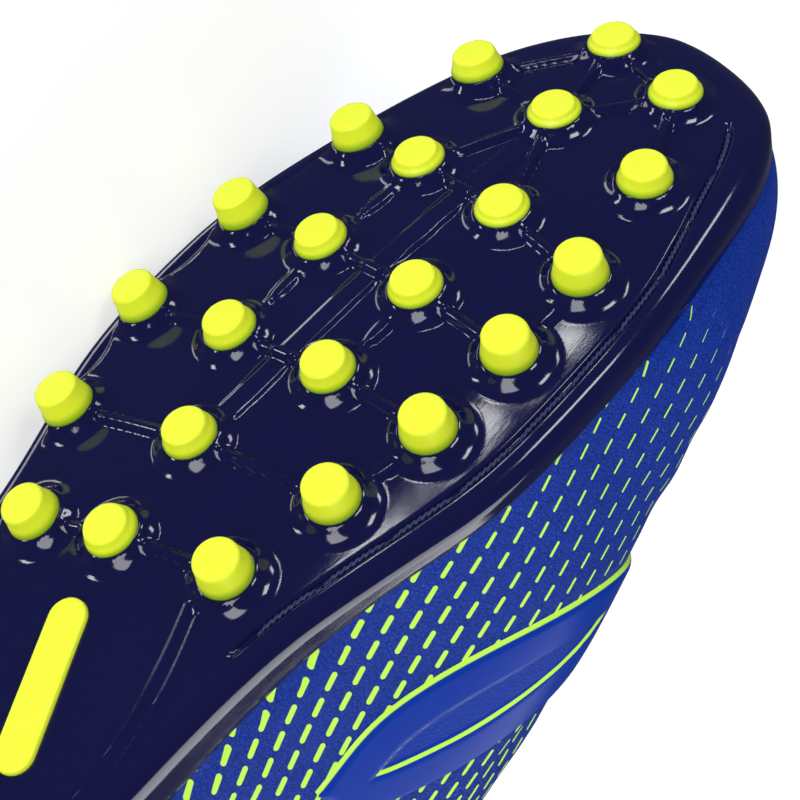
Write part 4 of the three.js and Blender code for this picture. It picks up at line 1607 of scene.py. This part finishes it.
@dataclass
class Upper:
    """The synthetic leather shell with its lining, open at the collar and the throat."""

    shop: Workshop
    steps: int = 250
    outer_rows: int = 60
    inner_rows: int = 22
    rim_rows: int = 5

    # Where the print starts behind the heel's curve and ends at the toe box, and how far under the
    # vamp's crest it stops, in front of the quarter.
    PRINT_START = 19.5
    PRINT_END = 238.0
    QUARTER_FRONT = 120.0
    BARE_CREST = 5.0

    def build(self) -> bpy.types.Object:
        """Builds the shell.

        Returns:
            The object, linked and smooth.
        """
        last, s = self.shop.last, self.shop.last.sizes
        openings = Openings(last)
        edge = last.edge(last.stations(self.steps))
        form = last.foot(edge, FINE_TURNS[None, :])
        keep = np.minimum(openings.below_collar(form), openings.beside_throat(form))
        finish, cut = crossing(keep, FINE_TURNS)
        clear = form[..., 2] - last.ground(form[..., 0], form[..., 1]) - s.plate_thickness - 0.6
        start, _ = crossing(clear, FINE_TURNS, rising=True)
        outer = self._rows(start, finish, np.linspace(0, 1, self.outer_rows))
        angle = np.linspace(0, math.pi, self.rim_rows + 2)[1:-1]
        bulge = 0.5 * s.wall * np.sin(angle)[None, :] / 60
        rim = finish[:, None] + bulge * cut[:, None]
        inner = self._rows(start, finish, np.linspace(1, 0, self.inner_rows))
        turns = np.concatenate([outer, rim, inner], 1)
        insets = np.concatenate(
            [np.zeros(self.outer_rows), s.wall * (1 - np.cos(angle)) / 2, np.full(self.inner_rows, s.wall)]
        )
        points = last.skin(edge, np.minimum(turns, QUARTER), -insets[None, :])
        lattice = dash_lattice(points)
        points[:, : self.outer_rows] = last.tuck(edge, points[:, : self.outer_rows], 0.75)
        lining = np.arange(turns.shape[1] - 1) >= self.outer_rows + 1
        seam = np.arange(turns.shape[1] - 1)
        across_rim = (seam >= self.outer_rows - 1) & (seam < self.outer_rows + self.rim_rows)
        keep_faces = ~(across_rim[None, :] & ~cut[:, None]) & ~self._eyelets(points, openings)
        values = {
            "dash": lattice,
            "print": self._printed(points),
            "smooth": np.zeros(points.shape[:2]),
        }
        made = Surface("upper_shell")
        made.grid(points, wrap=True, finish=np.broadcast_to(lining * 1, (len(points), len(seam))),
                  keep=keep_faces, values=values)
        upper = made.build(self.shop.pose, [self.shop.finishes.upper, self.shop.finishes.lining])
        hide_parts("upper")
        return upper

    @staticmethod
    def _rows(start: Array, finish: Array, shares: Array) -> Array:
        """Turns between two turns for each column."""
        return start[:, None] + (finish - start)[:, None] * shares[None, :]

    def _printed(self, points: Array) -> Array:
        """Where dashes are printed: the sides, from behind the heel's curve up to the toe box.

        Args:
            points: (..., 3) points in the shoe's frame.

        Returns:
            1 where printed, else 0.
        """
        last, x = self.shop.last, points[..., 0]
        crest = last.crest_z(np.clip(x / last.sizes.sole_length, *last.crest_ends))
        above = points[..., 2] - crest + self.BARE_CREST
        below = np.where(x > self.QUARTER_FRONT, 1 - smoothstep(-0.5, 0.5, above), 1.0)
        before = 1 - smoothstep(self.PRINT_END - 1, self.PRINT_END + 1, x)
        return before * smoothstep(self.PRINT_START - 0.5, self.PRINT_START + 0.5, x) * below

    def _eyelets(self, points: Array, openings: Openings) -> Array:
        """Faces that an eyelet takes away.

        Args:
            points: (C, R, 3) points.
            openings: the upper's openings.

        Returns:
            (C, R - 1), true where a face goes.
        """
        s = self.shop.last.sizes
        gone = np.zeros((len(points), points.shape[1] - 1), bool)
        middle = (points[:, :-1] + points[:, 1:]) / 2
        for x, y in Laces.eyelets(openings, s):
            gone |= np.hypot(middle[..., 0] - x, middle[..., 1] - y) < s.eyelet_radius + 0.1
        return gone & (middle[..., 2] > 40)


@dataclass
class Overlay:
    """A thin piece on the upper, between two lines of each column."""

    shop: Workshop
    name: str
    nodes: tuple[str, ...]
    finish: bpy.types.Material
    slot: str = "trim"
    rows: int = 26
    lift: float = 1.2
    rounding: float = 1.0

    def build(self, edge: Edge, low: Array, high: Array, borders: tuple[Array, Array], wrap: bool = False,
              border: Optional[Callable[[Array], Array]] = None,
              shape: Optional[Callable[[Array], Array]] = None) -> bpy.types.Object:
        """Builds the piece.

        Args:
            edge: C stations.
            low: the turn where each column starts.
            high: the turn where each column ends.
            borders: whether each column's start and end are borders of the piece.
            wrap: whether the last column joins the first.
            border: works out the distances to the border from points.
            shape: makes the lift from distances to the border.

        Returns:
            The object.
        """
        last = self.shop.last
        share = 0.5 - 0.5 * np.cos(np.linspace(0, math.pi, self.rows))
        turns = low[:, None] + (high - low)[:, None] * share[None, :]
        skin = last.skin(edge, turns)
        steps = np.linalg.norm(np.diff(skin, axis=1), axis=2)
        run = np.concatenate([np.zeros((len(skin), 1)), np.cumsum(steps, axis=1)], 1)
        far = np.full_like(run, 99.0)
        from_low = np.where(borders[0][:, None], run, far)
        from_high = np.where(borders[1][:, None], run[:, -1:] - run, far)
        rim = border(skin) if border else np.minimum(from_low, from_high)
        lift = shape(rim) if shape else self.lift * np.sqrt(1 - (1 - np.clip(rim / self.rounding, 0, 1)) ** 2)
        outer = last.tuck(edge, last.skin(edge, turns, lift), 0.35)
        made = Surface(self.name)
        made.grid(outer, wrap=wrap, values={"rim": rim})
        piece = made.build(self.shop.pose, [self.finish])
        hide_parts(*self.nodes)
        return piece


@dataclass
class Trims:
    """The overlays: eyestay, heel counter and side panel."""

    shop: Workshop
    steps: int = 260

    # Borders in the side view, as rows of x and z.
    COUNTER_TOP = ((-20, 50), (6, 50), (30, 44), (56, 34), (76, 20), (84, -10))
    LEAF_UNDER = ((130, 40), (148, 35), (172, 38), (194, 47), (206, 57))
    LEAF_OVER = ((130, 40), (134, 48), (150, 54), (172, 58), (194, 60), (206, 57))

    # The leaf's raised band, how deep its field is sunk, and where the band falls to the field.
    LEAF_LIFT = 1.15
    LEAF_SUNK = 0.8
    LEAF_SLOPE = (6.2, 7.6)

    def build(self) -> list[bpy.types.Object]:
        """Builds the three overlays.

        Returns:
            The objects.
        """
        last = self.shop.last
        self.openings = Openings(last)
        self.edge = last.edge(last.stations(self.steps))
        self.form = last.foot(self.edge, FINE_TURNS[None, :])
        return [self._eyestay(), self._counter(), self._panel()]

    def _pick(self, chosen: Array) -> Edge:
        """The stations that are chosen."""
        return Edge(self.edge.at[chosen], self.edge.out[chosen], self.edge.share[chosen])

    def _eyestay(self) -> bpy.types.Object:
        """The band round the throat, from its lower border up to the throat or the collar.

        Returns:
            The object, linked and smooth.
        """
        s, last = self.shop.last.sizes, self.shop.last
        form, openings = self.form, self.openings
        crest = last.crest_z(np.clip(form[..., 0] / s.sole_length, *last.crest_ends))
        round_throat = -openings.beside_throat(form, s.eyestay_band)
        band = np.minimum(round_throat, form[..., 2] - crest + s.eyestay_drop)
        keep = np.minimum(openings.below_collar(form, -1.0), openings.beside_throat(form))
        high, cut = crossing(keep, FINE_TURNS)
        low, in_band = crossing_down(band, FINE_TURNS, high)
        chosen = in_band & (low < high - 0.02)
        overlay = Overlay(self.shop, "eyestay_band", ("eyestay",), self.shop.finishes.trim)
        return overlay.build(self._pick(chosen), low[chosen], high[chosen],
                             (np.ones(chosen.sum(), bool), cut[chosen]))

    def _counter(self) -> bpy.types.Object:
        """The heel counter, from behind the side wall up to a curve.

        Returns:
            The object, linked and smooth.
        """
        last = self.shop.last
        curve = spline(np.array(self.COUNTER_TOP, float), np.linspace(0, 1, 41))
        over = np.interp(self.form[..., 0], curve[:, 0], curve[:, 1]) - self.form[..., 2]
        high, found = crossing(over, FINE_TURNS)
        base = last.ground(self.form[..., 0], self.form[..., 1]) + last.sizes.plate_thickness + 1
        low, _ = crossing(self.form[..., 2] - base, FINE_TURNS, rising=True)
        chosen = found & (self.edge.share < 0.3) & (high > low)
        order = np.roll(np.arange(len(chosen)), len(chosen) // 2)
        order = order[chosen[order]]
        overlay = Overlay(self.shop, "counter_shell", ("heel_counter",), self.shop.finishes.trim)
        borders = (np.zeros(len(order), bool), np.ones(len(order), bool))
        return overlay.build(self._pick(order), low[order], high[order], borders)

    def _panel(self) -> bpy.types.Object:
        """The leaf-shaped panel on the inner side, raised in a band round its border.

        Returns:
            The object, linked and smooth.
        """
        places = np.linspace(0, 1, 41)
        under = spline(np.array(self.LEAF_UNDER, float), places)
        over = spline(np.array(self.LEAF_OVER, float), places)
        x, z = self.form[..., 0], self.form[..., 2]
        low, low_found = crossing(z - np.interp(x, under[:, 0], under[:, 1]), FINE_TURNS, rising=True)
        high, high_found = crossing(np.interp(x, over[:, 0], over[:, 1]) - z, FINE_TURNS)
        spot = self.form[np.arange(len(low)), np.searchsorted(FINE_TURNS, low).clip(0, 240), 0]
        back, front = self.LEAF_UNDER[0][0] + 0.2, self.LEAF_UNDER[-1][0] - 0.2
        inner = self.edge.inner & (spot > back) & (spot < front) & low_found & high_found & (high > low)
        overlay = Overlay(self.shop, "side_leaf", ("side_panel",), self.shop.finishes.panel, rows=60)
        count = inner.sum()

        def raised(rim: Array) -> Array:
            """The band stands up, and the field inside it is sunk."""
            edge = np.sqrt(1 - (1 - np.clip(rim, 0, 1)) ** 2)
            return self.LEAF_LIFT * edge - self.LEAF_SUNK * smoothstep(*self.LEAF_SLOPE, rim)

        def to_border(points: Array) -> Array:
            """The side view's distance to the outline.

            Args:
                points: (..., 3) points in the shoe's frame.

            Returns:
                The distances.
            """
            x, z = points[..., 0], points[..., 2]
            lines = [segment(x, z, a, b)[0] for row in (under, over) for a, b in zip(row[:-1], row[1:])]
            return np.min(lines, axis=0)

        return overlay.build(self._pick(inner), low[inner], high[inner],
                             (np.ones(count, bool), np.ones(count, bool)), border=to_border, shape=raised)


@dataclass
class Tongue:
    """The padded tongue under the throat."""

    shop: Workshop
    STATIONS = 200
    ROWS = 16

    # Its half width at shares of the sole's length, and the shares where it starts and ends.
    HALF_AT = (0.38, 0.45, 0.72, 0.735)
    HALF_WIDTHS = (19, 21, 14, 8)
    ENDS = (0.381, 0.734)

    def build(self) -> bpy.types.Object:
        """Builds the tongue as two halves that meet on the crest.

        Returns:
            The object, linked and smooth.
        """
        last, s = self.shop.last, self.shop.last.sizes
        openings = Openings(last)
        edge = last.edge(last.stations(self.STATIONS))
        form = last.foot(edge, FINE_TURNS[None, :], s.wall + s.fit_gap)
        x = form[..., 0]
        share = x / s.sole_length
        half = np.interp(share, self.HALF_AT, self.HALF_WIDTHS)
        inside = half - np.abs(form[..., 1] - openings.crest(x))
        low, found = crossing_down(inside, FINE_TURNS, np.full(len(form), 9.0))
        chosen = found & (edge.share > self.ENDS[0]) & (edge.share < self.ENDS[1])
        made = Surface("tongue_pad")
        for side in (True, False):
            pick = chosen & (edge.inner == side)
            part = Edge(edge.at[pick], edge.out[pick], edge.share[pick])
            rows = low[pick][:, None] + (QUARTER - low[pick])[:, None] * np.linspace(0, 1, self.ROWS)[None, :]
            outside = last.foot(part, rows, s.wall + s.fit_gap)
            inside = last.foot(part, rows[:, ::-1], s.wall + s.fit_gap + s.tongue_thickness)
            made.grid(np.concatenate([inside, outside], 1))
        tongue = made.build(self.shop.pose, [self.shop.finishes.lining])
        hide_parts("tongue")
        return tongue


@dataclass
class Laces:
    """Lace runs across the throat, and the rings of the eyelets."""

    shop: Workshop
    HALF_WIDTH = 2.1
    HALF_THICKNESS = 0.75
    RING = 0.75
    RING_HEIGHT = 0.55

    @staticmethod
    def eyelets(openings: Openings, sizes: Sizes) -> list[tuple[float, float]]:
        """The plan places of the eyelets, inner then outer of each row.

        Args:
            openings: the upper's openings.
            sizes: the shoe's driving sizes.

        Returns:
            The x and y of each.
        """
        places = []
        for t in np.linspace(0, 1, sizes.lace_rows):
            x = (0.45 + 0.16 * t) * sizes.sole_length
            middle = float(openings.crest(np.array(x)))
            half = sizes.throat_half_width * (1.25 - 0.4 * t) + sizes.eyestay_band * 0.45
            places += [(x, middle + half), (x, middle - half)]
        return places

    def build(self) -> list[bpy.types.Object]:
        """Builds the runs and the rings.

        Returns:
            The objects.
        """
        openings = Openings(self.shop.last)
        places = self.eyelets(openings, self.shop.last.sizes)
        runs = [self._run(k, places[2 * k], places[2 * k + 1]) for k in range(len(places) // 2)]
        return runs + [self._rings(places)]

    def _column(self, x: float, y: float, inner: bool, inset: float) -> tuple[Edge, float]:
        """The station and the turn of a plan place on a form.

        Args:
            x: the place along the shoe.
            y: the place across it.
            inner: whether it is on the inner side.
            inset: how far the form is drawn in.

        Returns:
            The station, as an edge of one, and the turn.
        """
        last = self.shop.last
        t = last.stations(300)
        edge = last.edge(t)
        side = np.where(edge.inner == inner)[0]
        share = x / last.sizes.sole_length
        k = side[np.argmin(np.abs(edge.share[side] - share))]
        station = Edge(edge.at[k : k + 1], edge.out[k : k + 1], edge.share[k : k + 1])
        column = last.foot(station, FINE_TURNS[None, :], inset)[0]
        reach = np.abs(column[:, 1] - y)
        return station, float(FINE_TURNS[np.argmin(reach)])

    def _run(self, k: int, inner: tuple[float, float], outer: tuple[float, float]) -> bpy.types.Object:
        """One flat run of the lace from eyelet to eyelet.

        Args:
            k: the row's number.
            inner: the inner eyelet's place.
            outer: the outer eyelet's place.

        Returns:
            The object, linked and smooth.
        """
        last = self.shop.last
        halves = []
        for place, side in ((inner, True), (outer, False)):
            station, turn = self._column(*place, side, 0.0)
            turns = np.concatenate([[turn, turn + 0.01], np.linspace(turn + 0.05, QUARTER, 12)])
            insets = np.concatenate([[2.5, -0.8], np.full(12, -2.35)])
            halves.append(last.foot(station, turns[None, :], insets[None, :])[0])
        path = spline(np.vstack([halves[0], halves[1][-2::-1]]), np.linspace(0, 1, 60))
        along = np.gradient(path, axis=0)
        along /= np.linalg.norm(along, axis=1)[:, None]
        side = np.tile([1.0, 0.0, 0.0], (60, 1))
        side -= along * np.einsum("ij,ij->i", side, along)[:, None]
        side /= np.linalg.norm(side, axis=1)[:, None]
        up = np.cross(side, along)
        angles = np.linspace(0, 2 * math.pi, 17)[None, :]
        points = path[:, None] + side[:, None] * (self.HALF_WIDTH * np.cos(angles))[..., None]
        points = points + up[:, None] * (self.HALF_THICKNESS * np.sin(angles))[..., None]
        made = Surface(f"lace_run_{k + 1}")
        made.grid(points)
        lace = made.build(self.shop.pose, [self.shop.finishes.lace])
        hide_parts(f"lace_bar_{k + 1}")
        return lace

    def _rings(self, places: list[tuple[float, float]]) -> bpy.types.Object:
        """A raised ring round every eyelet.

        Args:
            places: the eyelets' places.

        Returns:
            The object, linked and smooth.
        """
        last, s = self.shop.last, self.shop.last.sizes
        made = Surface("eyelet_rings")
        for k, (x, y) in enumerate(places):
            station, turn = self._column(x, y, k % 2 == 0, 0.0)
            near = last.foot(station, np.array([[turn - 0.05, turn, turn + 0.05]]), -1.25)[0]
            up_slope = near[2] - near[0]
            up_slope /= np.linalg.norm(up_slope)
            ahead = np.array([1.0, 0.0, 0.0]) - up_slope * up_slope[0]
            ahead /= np.linalg.norm(ahead)
            out = np.cross(ahead, up_slope)
            out *= np.sign(out[2])
            centre = near[1]
            ring = np.linspace(0, 2 * math.pi, 33)[:, None]
            tube = np.linspace(0, 2 * math.pi, 11)[None, :]
            radius = s.eyelet_radius + 0.55 + self.RING * np.cos(tube)
            points = centre + ahead * (radius * np.cos(ring))[..., None]
            points = points + up_slope * (radius * np.sin(ring))[..., None]
            made.grid(points + out * (self.RING_HEIGHT * np.sin(tube) + 0 * ring)[..., None])
        return made.build(self.shop.pose, [self.shop.finishes.trim])


@dataclass
class ArchCapsule:
    """The raised lime capsule on the arch."""

    shop: Workshop
    PLACE = (112.5, 5.5)
    HALF = 16.0
    RADIUS = 3.8
    TURN = 2.75

    def build(self) -> bpy.types.Object:
        """Builds the capsule with a rounded edge.

        Returns:
            The object, linked and smooth.
        """
        last = self.shop.last
        angles = -(np.arange(64) + 0.5) * math.pi / 32
        rows = [(0.0, 1.15), (0.6, 1.15), (0.84, 1.1), (0.94, 0.95), (1.0, 0.65), (1.02, 0.0), (1.0, -0.3)]
        rings = []
        for shrink, lift in rows:
            u = (np.sign(np.cos(angles)) * (self.HALF - self.RADIUS) + np.cos(angles) * self.RADIUS * shrink)
            u = u * (shrink > 0) + (1 - (shrink > 0)) * np.sign(np.cos(angles)) * (self.HALF - self.RADIUS)
            v = np.sin(angles) * self.RADIUS * shrink
            x = self.PLACE[0] + u * math.cos(self.TURN) - v * math.sin(self.TURN)
            y = self.PLACE[1] + u * math.sin(self.TURN) + v * math.cos(self.TURN)
            rings.append(last.on_ground(np.stack([x, y], -1), np.full(64, lift)))
        points = np.stack(rings, 1)
        made = Surface("arch_capsule")
        made.grid(points, wrap=True, values={"height": np.full(points.shape[:2], 0.8)})
        capsule = made.build(self.shop.pose, [self.shop.finishes.stud])
        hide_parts("arch_inlay")
        return capsule


@dataclass
class Studio:
    """The pale floor, soft lights and the photograph's camera."""

    shop: Workshop

    def build(self) -> None:
        """Builds the stage."""
        self._floor()
        self._world()
        self._lights()
        self._camera()

    def _floor(self) -> None:
        """A wide pale floor that glossy surfaces don't mirror."""
        half = 4.0
        mesh = bpy.data.meshes.new("floor")
        corners = [(-half, -half, 0), (half, -half, 0), (half, half, 0), (-half, half, 0)]
        mesh.from_pydata(corners, [], [(0, 1, 2, 3)])
        floor = bpy.data.objects.new("floor", mesh)
        bpy.context.scene.collection.objects.link(floor)
        paint = Paint("floor", Base_Color=(0.6, 0.6, 0.6, 1.0), Roughness=0.9, Emission_Strength=0.55)
        paint.shader.inputs["Emission Color"].default_value = (1.0, 1.0, 1.0, 1.0)
        paint.feed("Roughness", paint.noise(paint.place(1.0), 40.0) * 0.1 + 0.85)
        mesh.materials.append(paint.material)
        floor.visible_glossy = False

    def _world(self) -> None:
        """A dim, slightly cool surround."""
        world = bpy.data.worlds.new("studio")
        world.use_nodes = True
        ground = world.node_tree.nodes["Background"]
        ground.inputs[0].default_value = (0.8, 0.86, 1.0, 1.0)
        ground.inputs[1].default_value = 0.11
        bpy.context.scene.world = world
        bpy.context.scene.view_settings.view_transform = "Standard"

    def _lights(self) -> None:
        """A soft sky that isn't mirrored, softboxes behind and in front, and cards that the plate mirrors."""
        places = [(-0.61 + 0.115 * k, -1.1, -0.13) for k in range(4)]
        edge_cards = [(f"edge_card_{k + 1}", place, (0.068, 0.062), 0.22) for k, place in enumerate(places)]
        rows = (
            ("sky", (0.0, 0.1, 1.6), (3.0, 3.0), 13.0),
            ("back", (0.7, 1.6, 1.2), (2.0, 1.2), 26.0),
            ("front_right", (1.1, -1.2, 0.8), (1.0, 0.8), 17.0),
            ("key", (-0.5, -1.05, 0.9), (0.4, 0.3), 5.0),
            *edge_cards,
            ("far_strip", (-0.12, -0.28, -0.42), (0.35, 0.06), 0.3),
            ("rib_card", (0.36, -0.85, -0.5), (0.28, 0.1), 1.2),
            ("arch_card", (-0.87, -0.83, 0.36), (0.3, 0.14), 1.6),
        )
        for name, place, size, power in rows:
            data = bpy.data.lights.new(name, "AREA")
            data.shape = "RECTANGLE"
            data.size, data.size_y = size
            data.energy = power
            light = bpy.data.objects.new(name, data)
            light.location = place
            light.visible_glossy = name != "sky"
            light.rotation_euler = (Vector((0, 0, 0.04)) - Vector(place)).to_track_quat("-Z", "Y").to_euler()
            bpy.context.scene.collection.objects.link(light)

    def _camera(self) -> None:
        """The photograph's own view of the shoe."""
        pose = self.shop.pose
        right, down = pose.aim(CAMERA_RIGHT).normalized(), pose.aim(CAMERA_DOWN)
        down = (down - right * down.dot(right)).normalized()
        forward = right.cross(down)
        data = bpy.data.cameras.new("camera")
        data.lens, data.sensor_width = LENS, SENSOR
        data.clip_start, data.clip_end = 0.01, 50
        camera = bpy.data.objects.new("camera", data)
        turn = Matrix((right, -down, -forward)).transposed().to_4x4()
        camera.matrix_world = Matrix.Translation(Vector(pose.place(CAMERA_PLACE))) @ turn
        bpy.context.scene.collection.objects.link(camera)
        bpy.context.scene.camera = camera


def main() -> None:
    """Builds the shoe piece by piece, then its stage."""
    logging.basicConfig(level=logging.INFO, format="%(message)s")
    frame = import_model()
    last = Last(SIZES)
    shop = Workshop(last, Pose(last, frame["nodes"]), Finishes())
    for maker in (Outsole, StitchLine, Studs, Upper, Trims, Tongue, Laces, ArchCapsule):
        made = maker(shop).build()
        pieces = made if isinstance(made, list) else [made]
        faces = sum(len(piece.data.polygons) for piece in pieces)
        log.info("%s: %d pieces, %d faces", maker.__name__, len(pieces), faces)
    insole = frame["nodes"]["insole"]
    insole.data.materials.clear()
    insole.data.materials.append(shop.finishes.lining)
    Studio(shop).build()


if __name__ == "__main__":
    main()
